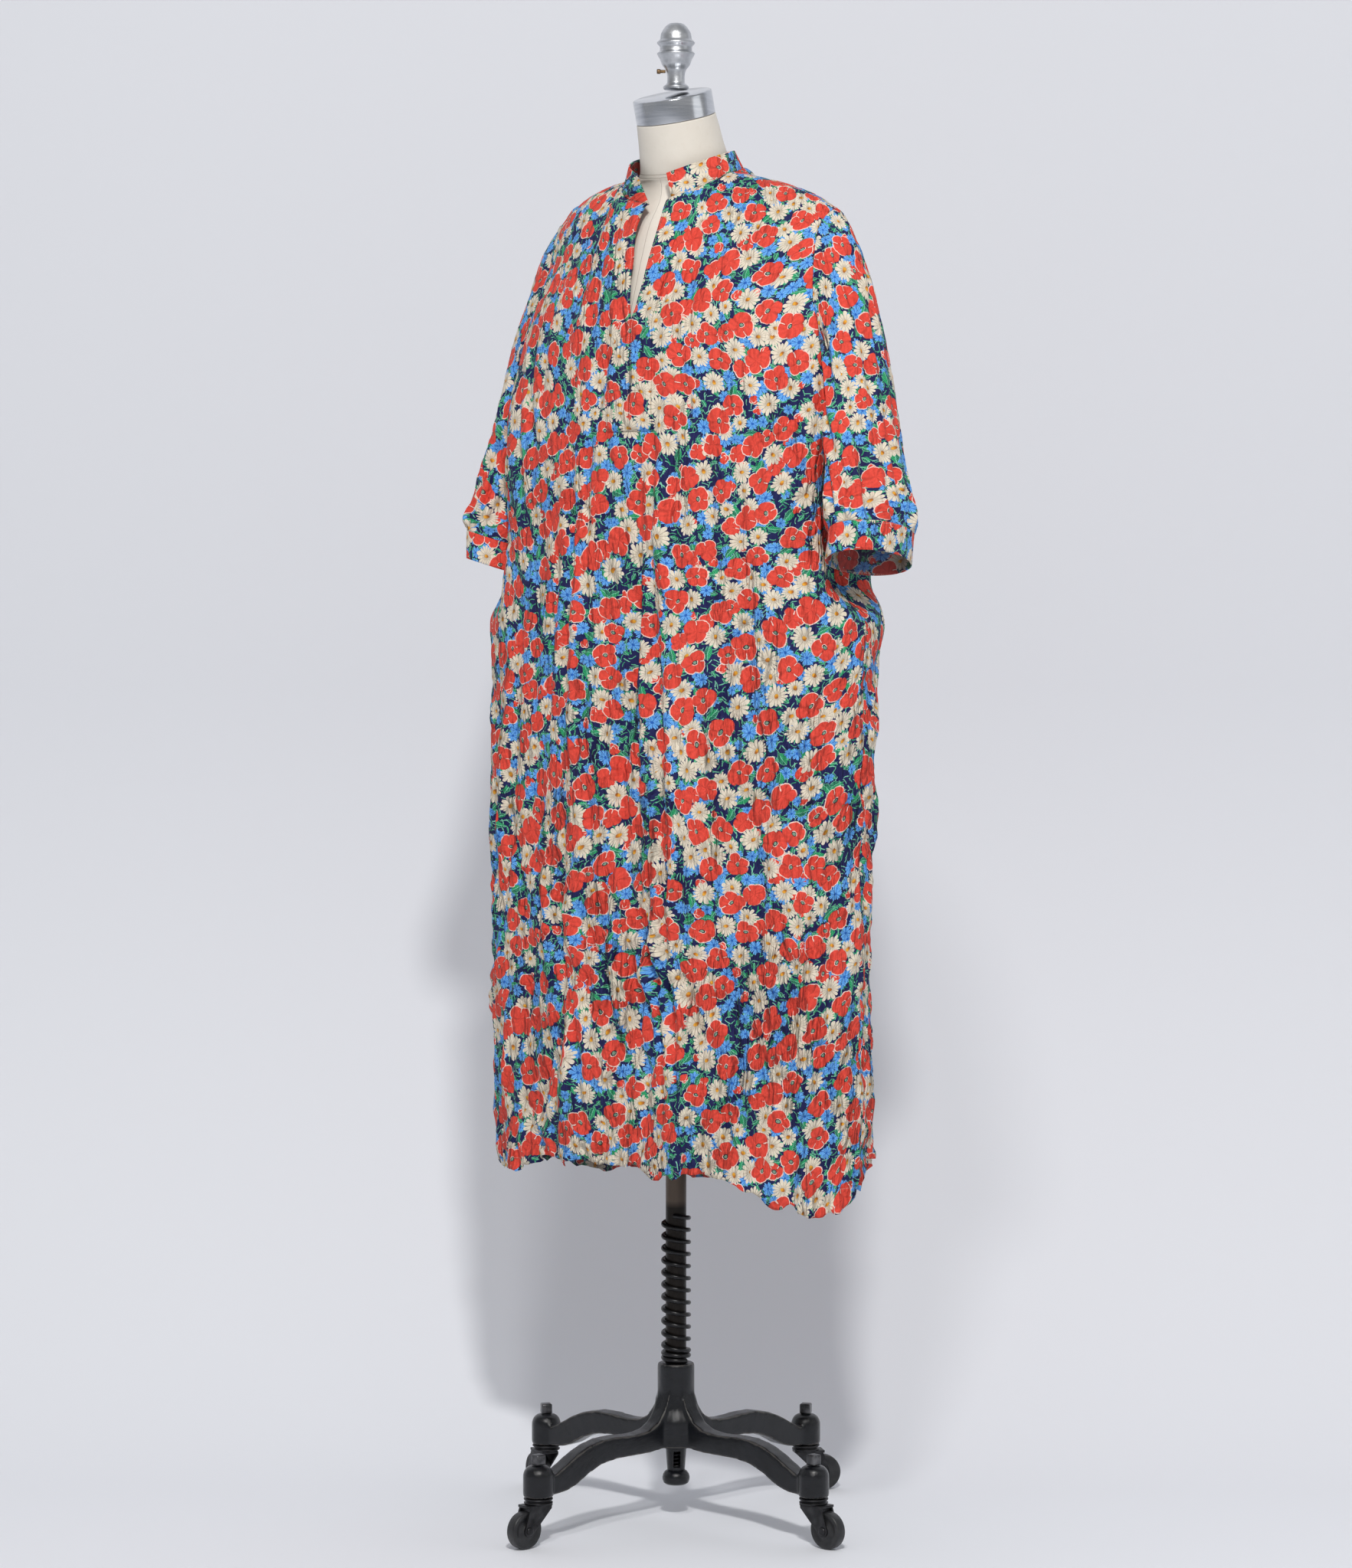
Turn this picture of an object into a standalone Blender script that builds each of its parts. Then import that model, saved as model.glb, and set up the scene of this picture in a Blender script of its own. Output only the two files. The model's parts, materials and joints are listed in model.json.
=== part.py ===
"""A printed shirt dress worn by a limbless dress form on a wheeled cast stand.

Metres, +Z up. The form faces -Y, the wearer's left is +X, and the origin is on the
floor under the post. The dress is one lofted sheet, cut at its seams into walls that
share mitred edges; the form, the post and the cast base are turned and lofted solids.
"""

import math

import bmesh
import bpy
import numpy as np
from mathutils import Matrix, Vector

# ---------------------------------------------------------------- driving sizes
CLOTH = 0.0015  # wall of one layer of cloth
BAND = 0.0020  # wall of a double band: collar and cuffs
PLACKET_WALL = 0.0012
GAP = 0.0003  # between touching pieces

BODY_Y = 0.012  # centre of the dress body's rings
UNDERARM_Z = 1.208  # also the foot of the placket
CHEST_HALF_WIDTH = 0.250
SIDE_DENT_WIDTH = 23.0  # degrees each side of the side seam
SLIT_X = 0.015  # the front slit sits a little to the wearer's left
SLIT_FOOT_Z = 1.326
PLACKET_WIDTH = 0.030
NECK_COLUMN = 20.0  # column angle at which shoulder seam meets neckline
NECK_CORNER = 94.8  # and how far round the neck seam that corner lies
SHOULDER_END = (0.2030, 0.036, 1.4560)

# The collar's two edges: ellipses that climb from front to back.
NECK_SEAM = {"y": 0.012, "half_width": 0.072, "half_depth": 0.060,
             "low": 1.460, "rise": 0.046, "curve": 0.8}
COLLAR_TOP = {"y": 0.010, "half_width": 0.062, "half_depth": 0.054,
              "low": 1.489, "rise": 0.035, "curve": 0.6}
COLLAR_END_SLANT = {"left": 5.0, "right": 24.0}  # degrees that the top corners lean to the right

CUFF_HEIGHT = 0.032
CUFF_CENTRE = (0.2590, 0.0150, 1.096)
CUFF_HALF_WIDTH = 0.036
CUFF_HALF_DEPTH = 0.062
RIGHT_CUFF_DROP = 0.008  # the right cuff hangs lower than the left
CUFF_TILT_OUT = 0.26  # rise of the cuff's plane per metre outwards
CUFF_TILT_FRONT = 0.17  # and per metre forwards
SLEEVE_BLOUSE = 0.007  # fullness just above the cuff

NECK_LEAN = math.radians(15.3)
CAP_CENTRE = (0.0, 0.0, 1.5585)
CAP_RADIUS = 0.0444
CAP_HEIGHT = 0.0267

POST_RADIUS = 0.0115
POST_FOOT_Z = 0.0835
FORM_FLOOR_Z = 0.730

BASE_TURN = math.radians(-6.0)  # the legs' cross against the form
STEM_REACH = 0.2107  # post axis to caster stem
HUB_FLOOR_Z = 0.082
HUB_TOP_Z = 0.1733
HUB_RADIUS = 0.0207
LEG_THICKNESS = 0.020
SOCKET_RADIUS = 0.0168
SOCKET_FLOOR_Z = 0.053
SOCKET_TOP_Z = 0.0875

SPRING_RADIUS = 0.01435
SPRING_WIRE = 0.0022
SPRING_PITCH = 0.0135
SPRING_TURNS = 11.2
SPRING_CLOSED_TURNS = 2

WHEEL_RADIUS = 0.020
WHEEL_WIDTH = 0.013
WHEEL_SIDES = 28
CASTER_TRAIL = 0.0200
AXLE_RADIUS = 0.003
FORK_INSIDE = 0.0078
FORK_WALL = 0.0022

# Rings of the dress body, from the hem up. Front and back are depths from BODY_Y, and
# dent is how far the side is pushed in beside the sleeve, as a share of the half width.
# The sides are set back from the middle, as the shoulders are.
BODY_RINGS = (
    # height, half_width, front, back, dent, set_back
    (0.340, 0.245, 0.122, 0.125, 0.000, 0.000),
    (0.470, 0.250, 0.121, 0.126, 0.000, -0.003),
    (0.680, 0.254, 0.119, 0.126, 0.000, -0.007),
    (0.850, 0.255, 0.117, 0.126, 0.000, -0.006),
    (0.960, 0.260, 0.115, 0.127, 0.020, -0.002),
    (1.000, 0.267, 0.114, 0.129, 0.050, 0.000),
    (1.045, 0.257, 0.113, 0.128, 0.175, 0.000),
    (1.150, 0.250, 0.113, 0.128, 0.175, 0.000),
    (1.208, 0.250, 0.113, 0.127, 0.136, 0.002),
    (1.330, 0.228, 0.111, 0.124, 0.090, 0.020),
    (1.400, 0.207, 0.101, 0.118, 0.040, 0.030),
    (1.475, 0.200, 0.086, 0.108, 0.040, 0.030),
    (1.510, 0.196, 0.078, 0.100, 0.040, 0.030),
)

# Height of the hem round the body; angle 0 is the front, 90 the wearer's left.
HEM_LINE = (
    # angle, height
    (-180, 0.360), (-140, 0.364), (-100, 0.380), (-72, 0.388), (-45, 0.382),
    (-18, 0.406), (8, 0.402), (28, 0.400), (42, 0.382), (55, 0.368), (69, 0.356),
    (80, 0.372), (95, 0.392), (108, 0.412), (125, 0.396), (150, 0.366), (180, 0.360),
)

# Soft vertical folds: positive depth stands out, negative is a trough.
FOLDS = (
    # angle, top, foot, depth, width, lean (degrees per metre down)
    (-10.0, 1.21, 0.34, 0.0075, 5.0, -4.0),
    (3.5, 1.21, 0.34, -0.0100, 5.5, 3.0),
    (15.0, 1.21, 0.34, 0.0080, 6.0, 9.0),
    (34.0, 1.28, 0.45, -0.0055, 7.0, 6.0),
    (50.0, 1.05, 0.34, 0.0060, 8.0, 6.0),
    (72.0, 1.02, 0.34, -0.0065, 7.0, -5.0),
    (-30.0, 1.20, 0.40, -0.0065, 7.0, -7.0),
    (-46.0, 1.10, 0.34, 0.0065, 8.0, 2.0),
    (-68.0, 1.10, 0.34, 0.0050, 8.0, 4.0),
    (112.0, 1.05, 0.34, -0.0060, 9.0, 3.0),
    (134.0, 1.15, 0.34, -0.0070, 8.0, -4.0),
    (156.0, 1.24, 0.34, 0.0065, 8.0, 2.0),
    (178.0, 1.26, 0.36, -0.0075, 8.0, 3.0),
    (-158.0, 1.22, 0.34, 0.0065, 8.0, -3.0),
    (-134.0, 1.12, 0.34, -0.0065, 8.0, 4.0),
    (-112.0, 1.04, 0.34, 0.0060, 9.0, -3.0),
)

# Front edge of each armhole: how far round the chest ring it lies, from underarm to top.
ARMHOLE = (
    # climb, front_angle, back_angle
    (0.00, 90.0, 90.0),
    (0.11, 79.0, 80.0),
    (0.30, 66.0, 67.0),
    (0.60, 66.0, 67.0),
    (1.00, 74.0, 74.0),
)

# How the chest rounds over to its top edge: 1 is an ellipse, and less is fuller.
ROUNDING = (
    # column_angle, front, back
    (0.0, 0.90, 0.85),
    (20.0, 0.88, 0.68),
    (42.0, 0.72, 0.72),
    (90.0, 0.70, 0.70),
)

# Shoulder seam from the neck (run 0) to the sleeve (run 1).
SHOULDER = (
    # run, x, y, z
    (0.00, 0.0715, 0.0170, 1.5024),
    (0.34, 0.1160, 0.0230, 1.4855),
    (0.64, 0.1520, 0.0290, 1.4730),
    (0.82, 0.1775, 0.0330, 1.4645),
    (1.00, *SHOULDER_END),
)

# Half of the gap between the slit's edges.
SLIT_OPENING = (
    # height, half_gap
    (1.326, 0.0000),
    (1.360, 0.0050),
    (1.395, 0.0092),
    (1.437, 0.0142),
    (1.462, 0.0130),
)

# Rings of the form: centre height and y, half width, depth to front and back, shape
# exponent, and the share of the neck's lean that the ring takes.
FORM_RINGS = (
    # height, y, half_width, front, back, exponent, lean
    (0.7303, 0.010, 0.120, 0.072, 0.084, 2.2, 0.0),
    (0.745, 0.010, 0.148, 0.088, 0.100, 2.2, 0.0),
    (0.790, 0.010, 0.170, 0.096, 0.110, 2.2, 0.0),
    (0.870, 0.010, 0.180, 0.097, 0.113, 2.2, 0.0),
    (0.950, 0.008, 0.170, 0.094, 0.106, 2.2, 0.0),
    (1.020, 0.004, 0.146, 0.089, 0.095, 2.1, 0.0),
    (1.085, 0.001, 0.128, 0.084, 0.085, 2.1, 0.0),
    (1.150, 0.001, 0.136, 0.088, 0.089, 2.1, 0.0),
    (1.220, 0.002, 0.151, 0.095, 0.099, 2.2, 0.0),
    (1.275, 0.005, 0.160, 0.097, 0.104, 2.2, 0.0),
    (1.325, 0.010, 0.168, 0.094, 0.102, 2.1, 0.0),
    (1.370, 0.016, 0.178, 0.087, 0.098, 2.0, 0.0),
    (1.410, 0.022, 0.183, 0.080, 0.082, 1.9, 0.0),
    (1.438, 0.026, 0.188, 0.073, 0.069, 1.6, 0.0),
    (1.453, 0.029, 0.189, 0.066, 0.060, 1.4, 0.0),
    (1.4635, 0.030, 0.1715, 0.061, 0.053, 1.3, 0.0),
    (1.4720, 0.028, 0.1485, 0.055, 0.051, 1.3, 0.0),
    (1.4800, 0.026, 0.1250, 0.050, 0.048, 1.3, 0.05),
    (1.4880, 0.023, 0.0880, 0.037, 0.044, 1.35, 0.15),
    (1.4950, 0.0215, 0.0630, 0.0450, 0.0480, 1.9, 0.40),
    (1.5050, 0.0180, 0.0530, 0.0500, 0.0465, 2.0, 0.75),
    (1.5200, 0.0122, 0.0490, 0.0480, 0.0460, 2.0, 1.00),
    (1.5400, 0.0058, 0.0462, 0.0460, 0.0462, 2.0, 1.00),
    (1.5582, 0.0001, 0.0444, 0.0444, 0.0444, 2.0, 1.00),
)
FORM_SIDES = 32

FINIAL_PROFILE = (
    # radius, height
    (0.0000, 1.6647), (0.0060, 1.6642), (0.0099, 1.6623), (0.0136, 1.6581),
    (0.0166, 1.6527), (0.0178, 1.6463), (0.0212, 1.6424), (0.0178, 1.6375),
    (0.0180, 1.6335), (0.0211, 1.6304), (0.0178, 1.6240), (0.0156, 1.6180),
    (0.0108, 1.6114), (0.0097, 1.6040), (0.0098, 1.5983), (0.0143, 1.5935),
    (0.0135, 1.5908), (0.0070, 1.5900), (0.0000, 1.5900),
)
FINIAL_SCREW_Z = 1.6107

# Side outline of one leg of the base.
LEG_OUTLINE = (
    # reach, floor, top
    (0.000, 0.0822, 0.1500),
    (0.018, 0.0822, 0.1460),
    (0.026, 0.0818, 0.1240),
    (0.036, 0.0808, 0.1110),
    (0.050, 0.0795, 0.1042),
    (0.070, 0.0795, 0.1022),
    (0.100, 0.0800, 0.1040),
    (0.122, 0.0775, 0.1035),
    (0.142, 0.0705, 0.0995),
    (0.160, 0.0610, 0.0925),
    (0.175, 0.0560, 0.0845),
    (0.190, 0.0545, 0.0770),
    (0.205, 0.0545, 0.0720),
)

# The four casters: leg number, name, and where the fork trails to, as a turn from the leg.
CASTERS = (
    # leg, name, trail_turn
    (0, "left", 3.0),
    (1, "back", -33.5),
    (2, "right", -15.0),
    (3, "front", -3.0),
)


# ---------------------------------------------------------------- scene helpers
def clear_scene():
    for thing in list(bpy.data.objects):
        bpy.data.objects.remove(thing, do_unlink=True)


def collection(name):
    made = bpy.data.collections.new(name)
    bpy.context.scene.collection.children.link(made)
    return made


def material(name, colour, roughness, metallic=0.0):
    made = bpy.data.materials.new(name)
    made.use_nodes = True
    shader = made.node_tree.nodes["Principled BSDF"]
    shader.inputs["Base Color"].default_value = (*colour, 1.0)
    shader.inputs["Roughness"].default_value = roughness
    shader.inputs["Metallic"].default_value = metallic
    return made


def add_mesh(name, points, edges, faces, finish):
    mesh = bpy.data.meshes.new(name)
    mesh.from_pydata([tuple(p) for p in points], edges, faces)
    mesh.update()
    if finish:
        mesh.materials.append(finish)
    made = bpy.data.objects.new(name, mesh)
    PARTS.objects.link(made)
    return made


def turned(name, profile, finish, sides=24, closed_loop=False):
    """A turned solid: radius and height down the outer side, swept round Z."""
    points = [(radius, 0.0, height) for radius, height in profile]
    edges = [(i, i + 1) for i in range(len(points) - 1)]
    if closed_loop:
        edges.append((len(points) - 1, 0))
    made = add_mesh(name, points, edges, [], finish)
    screw = made.modifiers.new("Screw", "SCREW")
    screw.axis = "Z"
    screw.angle = math.tau
    screw.steps = screw.render_steps = sides
    screw.use_merge_vertices = True
    screw.merge_threshold = 0.00001
    screw.use_smooth_shade = True
    return made


def flat_outline(name, outline, thickness, finish):
    """A flat plate: the outline lies in XZ and the thickness is centred on Y."""
    curve = bpy.data.curves.new(name, "CURVE")
    curve.dimensions = "2D"
    curve.fill_mode = "BOTH"
    curve.extrude = thickness / 2
    spline = curve.splines.new("POLY")
    spline.points.add(len(outline) - 1)
    for point, (x, z) in zip(spline.points, outline):
        point.co = (x, z, 0.0, 1.0)
    spline.use_cyclic_u = True
    curve.materials.append(finish)
    made = bpy.data.objects.new(name, curve)
    made.rotation_euler = (math.pi / 2, 0.0, 0.0)
    PARTS.objects.link(made)
    return made


def wire(name, points, radius, finish):
    curve = bpy.data.curves.new(name, "CURVE")
    curve.dimensions = "3D"
    curve.bevel_depth = radius
    curve.bevel_resolution = 2
    curve.use_fill_caps = True
    spline = curve.splines.new("POLY")
    spline.points.add(len(points) - 1)
    for point, place in zip(spline.points, points):
        point.co = (*place, 1.0)
    curve.materials.append(finish)
    made = bpy.data.objects.new(name, curve)
    PARTS.objects.link(made)
    return made


def as_mesh(thing):
    """The object with its curve, modifiers and placing made real, as one welded mesh."""
    bpy.context.view_layer.update()
    graph = bpy.context.evaluated_depsgraph_get()
    mesh = bpy.data.meshes.new_from_object(thing.evaluated_get(graph))
    cage = bmesh.new()
    cage.from_mesh(mesh)
    cage.transform(thing.matrix_world)
    bmesh.ops.remove_doubles(cage, verts=cage.verts, dist=0.00001)
    bmesh.ops.recalc_face_normals(cage, faces=cage.faces)
    cage.to_mesh(mesh)
    cage.free()
    made = bpy.data.objects.new(thing.name + "_solid", mesh)
    name = thing.name
    bpy.data.objects.remove(thing, do_unlink=True)
    made.name = name
    PARTS.objects.link(made)
    return made


def use_as_tool(tool, target, operation):
    """Adds or cuts the tool with a Boolean, and puts the tool among the cutters."""
    step = target.modifiers.new(tool.name, "BOOLEAN")
    step.operation = operation
    step.solver = "EXACT"
    step.object = tool
    tool.parent = target
    PARTS.objects.unlink(tool)
    CUTTERS.objects.link(tool)
    tool.hide_render = True
    tool.display_type = "WIRE"


# ---------------------------------------------------------------- the dress as one sheet
def row_at(table, value):
    """The table's row at a value of its first column, read between its rows."""
    columns = list(zip(*table))
    return [float(np.interp(value, columns[0], column)) for column in columns[1:]]


def fold_depth(angle, height):
    depth = 0.0
    for centre, top, foot, size, width, lean in FOLDS:
        if not foot - 0.06 < height < top:
            continue
        across = (angle - centre - lean * (top - height) + 180.0) % 360.0 - 180.0
        start = min(1.0, (top - height) / 0.16)
        end = min(1.0, (height - foot + 0.06) / 0.10)
        depth += size * math.exp(-((across / width) ** 2)) * start * end
    return depth


def ring_point(angle, height, shape_angle=None):
    """A point of the dress body; shape_angle is where the folds are read."""
    half_width, front, back, dent, set_back = row_at(BODY_RINGS, height)
    turn = math.radians(angle)
    beside = (abs((angle + 180.0) % 360.0 - 180.0) - 90.0) / SIDE_DENT_WIDTH
    x = half_width * math.sin(turn) * (1.0 - dent * math.exp(-beside * beside))
    y = set_back * math.sin(turn) ** 2 - (front if math.cos(turn) > 0 else back) * math.cos(turn)
    bulge = fold_depth(angle if shape_angle is None else shape_angle, height)
    away = math.hypot(x, y)
    return np.array((x * (1 + bulge / away), BODY_Y + y * (1 + bulge / away), height))


def neck_point(turn, ring):
    """A point on an edge of the collar; turn is 0 in front and 180 behind."""
    across, along = math.sin(math.radians(turn)), -math.cos(math.radians(turn))
    climb = math.sin((1 + along) * math.pi / 4) ** ring["curve"]
    return np.array((ring["half_width"] * across, ring["y"] + ring["half_depth"] * along,
                     ring["low"] + ring["rise"] * climb))


def neck_turn(angle, back):
    """How far round the neck seam a column of the front or back meets it."""
    share = abs(angle) / NECK_COLUMN
    if back:
        return math.copysign(180.0 - (180.0 - NECK_CORNER) * share, angle)
    return math.copysign(NECK_CORNER * (0.7 * share + 0.3 * share ** 4), angle)


def top_point(angle, back):
    """Where a column of the front or back ends: on the neckline or the shoulder seam."""
    if abs(angle) < NECK_COLUMN:
        return neck_point(neck_turn(angle, back), NECK_SEAM)
    run = (abs(angle) - NECK_COLUMN) / (90.0 - NECK_COLUMN)
    x, y, z = row_at(SHOULDER, run)
    meet = (neck_point(NECK_CORNER, NECK_SEAM) - SHOULDER[0][1:]) * max(0.0, 1 - run * 3)
    return np.array((math.copysign(x + meet[0], angle), y + meet[1], z + meet[2]))


def chest_point(angle, climb, back):
    """A point of the front or back above the underarm; angle runs from -90 to 90."""
    front_edge, back_edge = row_at(ARMHOLE, climb)
    narrowing = 1.0 - (back_edge if back else front_edge) / 90.0
    turn = angle * (1.0 - narrowing * abs(angle / 90.0) ** 1.5)
    top = top_point(angle, back)
    rounding = row_at(ROUNDING, abs(angle))[int(back)]
    rise = math.sin(climb * math.pi / 2) ** rounding
    pull = 1.0 - max(0.0, math.cos(climb * math.pi / 2)) ** rounding
    around = 180.0 - turn if back else turn
    on_ring = ring_point(around, UNDERARM_Z + (top[2] - UNDERARM_Z) * rise,
                         180.0 - angle if back else angle)
    return np.array((*(on_ring[:2] * (1 - pull) + top[:2] * pull), on_ring[2]))


SLIT_ANGLE = math.degrees(math.asin(SLIT_X / CHEST_HALF_WIDTH))
PLACKET_ANGLE = math.degrees(math.asin((SLIT_X + PLACKET_WIDTH) / CHEST_HALF_WIDTH)) - SLIT_ANGLE


def front_point(angle, climb, side):
    """A point of the front, opened at the slit; side is -1 or 1, the side of the slit."""
    closed = chest_point(angle, climb, back=False)
    half_gap, = row_at(SLIT_OPENING, closed[2])
    limit = NECK_COLUMN - side * SLIT_ANGLE
    share = (limit - abs(angle - SLIT_ANGLE)) / (limit - PLACKET_ANGLE)
    shift = math.degrees(half_gap / CHEST_HALF_WIDTH) * min(1.0, max(0.0, share))
    return chest_point(angle + side * shift, climb, back=False)


def lower_point(angle, share, back):
    """A point below the underarm; share runs from 0 at the hem to 1 at the underarm."""
    around = 180.0 - angle if back else angle
    signed = (around + 180.0) % 360.0 - 180.0
    hem, = row_at(HEM_LINE, signed)
    return ring_point(around, hem + (UNDERARM_Z - hem) * share)


def cuff_ring(count, below):
    """A ring of points across the left cuff, from the underarm round by the front."""
    centre = np.array(CUFF_CENTRE) + np.array((-0.06, -0.06, -1.0)) * below
    ring = []
    for k in range(count):
        turn = math.tau * k / count
        across = -CUFF_HALF_WIDTH * math.cos(turn)
        along = -CUFF_HALF_DEPTH * math.sin(turn)
        lift = CUFF_TILT_OUT * across - CUFF_TILT_FRONT * along
        ring.append(centre + np.array((across, along, lift)))
    return ring


def sleeve_point(start, end, share, climb, turn):
    """A point of the left sleeve between its armhole and cuff; climb is 0 underarm."""
    leave = np.array((0.50, -0.15 * math.sin(turn), -0.86))
    leave *= 0.13 + 0.15 * climb
    arrive = np.array((CUFF_TILT_OUT, -CUFF_TILT_FRONT, -1.0)) * (0.12 + 0.06 * climb)
    s2, s3 = share * share, share ** 3
    point = ((2 * s3 - 3 * s2 + 1) * start + (s3 - 2 * s2 + share) * leave
             + (3 * s2 - 2 * s3) * end + (s3 - s2) * arrive)
    fullness = SLEEVE_BLOUSE * math.exp(-(((share - 0.90) / 0.10) ** 2)) * min(1.0, (1 - share) / 0.07)
    outward = np.array((-0.7 * math.cos(turn), -math.sin(turn), 0.0))
    return point + fullness * outward


SLIT_TURNS = {"left": 22.0, "right": 1.5}


class Sheet:
    """Quads of the whole dress, welded where pieces share a seam."""

    def __init__(self):
        self.points = []
        self.faces = {}
        self.index = {}

    def vertex(self, point):
        key = tuple(int(round(float(c) * 1e6)) for c in point)
        if key not in self.index:
            self.index[key] = len(self.points)
            self.points.append(np.array(point, float))
        return self.index[key]

    def add(self, piece, grid, flip=False):
        """Adds a grid of points; its rows run up and its columns run to the wearer's left."""
        ids = [[self.vertex(point) for point in row] for row in grid]
        for low, high in zip(ids, ids[1:]):
            for i in range(len(low) - 1):
                quad = [low[i], low[i + 1], high[i + 1], high[i]]
                quad = [v for n, v in enumerate(quad) if v != quad[n - 1]]
                if len(set(quad)) >= 3:
                    self.faces.setdefault(piece, []).append(quad[::-1] if flip else quad)

    def normals(self):
        total = np.zeros((len(self.points), 3))
        for faces in self.faces.values():
            for face in faces:
                corners = [self.points[v] for v in face]
                for n, v in enumerate(face):
                    ahead = corners[(n + 1) % len(face)] - corners[n]
                    behind = corners[n - 1] - corners[n]
                    cross = np.cross(ahead, behind)
                    sizes = np.linalg.norm(ahead) * np.linalg.norm(behind)
                    if sizes > 0 and np.linalg.norm(cross) > 0:
                        turn = math.asin(min(1.0, np.linalg.norm(cross) / sizes))
                        total[v] += turn * cross / np.linalg.norm(cross)
        return total / np.maximum(np.linalg.norm(total, axis=1, keepdims=True), 1e-12)


def wall(name, points, normals, faces, outer, inner, finish):
    """A closed wall between two offsets of a patch, drawn back from its own edge."""
    used = sorted({v for face in faces for v in face})
    sides = {}
    for face in faces:
        for n, v in enumerate(face):
            sides[(v, face[(n + 1) % len(face)])] = True
    rim = [(a, b) for a, b in sides if (b, a) not in sides]
    on_rim = {v for pair in rim for v in pair}
    near = {v: set() for v in used}
    for a, b in sides:
        near[a].add(b)
        near[b].add(a)
    placed = {}
    for v in used:
        place = points[v]
        if v in on_rim:
            inward = [w for w in near[v] if w not in on_rim] or list(near[v])
            pull = sum((points[w] - place) / np.linalg.norm(points[w] - place) for w in inward)
            pull = pull - normals[v] * (pull @ normals[v])
            place = place + pull / np.linalg.norm(pull) * GAP * 0.6
        placed[v] = place
    number = {v: n for n, v in enumerate(used)}
    count = len(used)
    shell = [placed[v] + normals[v] * outer for v in used]
    shell += [placed[v] + normals[v] * inner for v in used]
    quads = [[number[v] for v in face] for face in faces]
    quads += [[number[v] + count for v in reversed(face)] for face in faces]
    for a, b in rim:
        out_a, out_b, in_a, in_b = number[a], number[b], number[a] + count, number[b] + count
        # Both pieces of a seam split its rim along the same diagonal.
        if a < b:
            quads += [[out_a, in_b, out_b], [out_a, in_a, in_b]]
        else:
            quads += [[out_b, out_a, in_a], [out_b, in_a, in_b]]
    return add_mesh(name, shell, [], quads, finish)


def climbs():
    """Rows of the chest, from the underarm to the shoulder."""
    return (0.0, 0.10, 0.21, 0.33, 0.45, 0.57, 0.69, 0.80, 0.91, 1.0)


def front_columns(side):
    """Column angles of one side of the front, from the slit outwards."""
    beside = 0.5 * (SLIT_ANGLE + side * PLACKET_ANGLE + side * NECK_COLUMN)
    inner = [SLIT_ANGLE + side * share * PLACKET_ANGLE for share in (0.0, 0.5, 1.0)]
    columns = inner + [beside] + [side * angle for angle in shoulder_columns()]
    return columns if side > 0 else columns[::-1]


def shoulder_columns():
    shares = (0.0, 0.13, 0.27, 0.41, 0.55, 0.69, 0.82, 0.92, 1.0)
    return [NECK_COLUMN + (90.0 - NECK_COLUMN) * share for share in shares]


def back_columns():
    left = shoulder_columns()
    return [-angle for angle in reversed(left)] + [-13.5, -7.0, 0.0, 7.0, 13.5] + left


def dress_sheet():
    sheet = Sheet()
    rows = climbs()
    shares = [n / 11 for n in range(12)]
    for side in (-1, 1):
        columns = front_columns(side)
        sheet.add("front", [[lower_point(a, s, False) for a in columns] for s in shares])
        sheet.add("front", [[front_point(a, c, side) for a in columns] for c in rows])
    columns = back_columns()
    sheet.add("back", [[lower_point(a, s, True) for a in columns] for s in shares], flip=True)
    sheet.add("back", [[chest_point(a, c, True) for a in columns] for c in rows], flip=True)
    for side, name in ((1, "left"), (-1, "right")):
        add_sleeve(sheet, rows, side, name)
    add_collar(sheet, columns)
    return sheet


def add_sleeve(sheet, rows, side, name):
    """The sleeve starts on the very points of the armhole, and its cuff ends it."""
    mirror = np.array((side, 1.0, 1.0))
    front_edge = [front_point(side * 90.0, c, side) for c in rows]
    back_edge = [chest_point(side * 90.0, c, True) for c in rows]
    armhole = front_edge + back_edge[-2:0:-1]
    count = len(armhole)
    drop = 0.0 if side > 0 else RIGHT_CUFF_DROP
    ring = cuff_ring(count, drop)
    lower_ring = cuff_ring(count, drop + CUFF_HEIGHT)
    levels = []
    for n in range(10):
        share = n / 9
        level = []
        for k, start in enumerate(armhole):
            turn = math.tau * k / count
            climb = (1 - math.cos(turn)) / 2
            point = sleeve_point(start * mirror, ring[k], share, climb, turn)
            level.append(start if n == 0 else point * mirror)
        levels.append(level + level[:1])
    sheet.add("sleeve_" + name, levels, flip=side > 0)
    cuff = [ring, lower_ring]
    cuff = [[point * mirror for point in level] for level in cuff]
    cuff = [level + level[:1] for level in cuff]
    cuff[0] = levels[-1]
    middle = [(a + b) / 2 for a, b in zip(*cuff)]
    sheet.add("cuff_" + name, [cuff[0], middle, cuff[1]], flip=side > 0)


def add_collar(sheet, columns):
    """The collar band, from the slit's left edge round the back to its right edge."""
    seam = [front_point(a, 1.0, 1) for a in front_columns(1) if a <= NECK_COLUMN]
    seam += [chest_point(a, 1.0, True) for a in reversed(columns) if abs(a) < NECK_COLUMN]
    seam += [front_point(a, 1.0, -1) for a in front_columns(-1) if a >= -NECK_COLUMN]
    top = []
    for x, y, _ in seam:
        turn = math.atan2(x / NECK_SEAM["half_width"], (NECK_SEAM["y"] - y) / NECK_SEAM["half_depth"])
        turn = math.degrees(turn)
        end = "left" if turn > 10 else "right"
        slant = COLLAR_END_SLANT[end] * max(0.0, 1 - abs(turn - SLIT_TURNS[end]) / 60)
        top.append(neck_point(turn - slant, COLLAR_TOP))
    sheet.add("collar", [seam, [(a + b) / 2 for a, b in zip(seam, top)], top])


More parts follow.
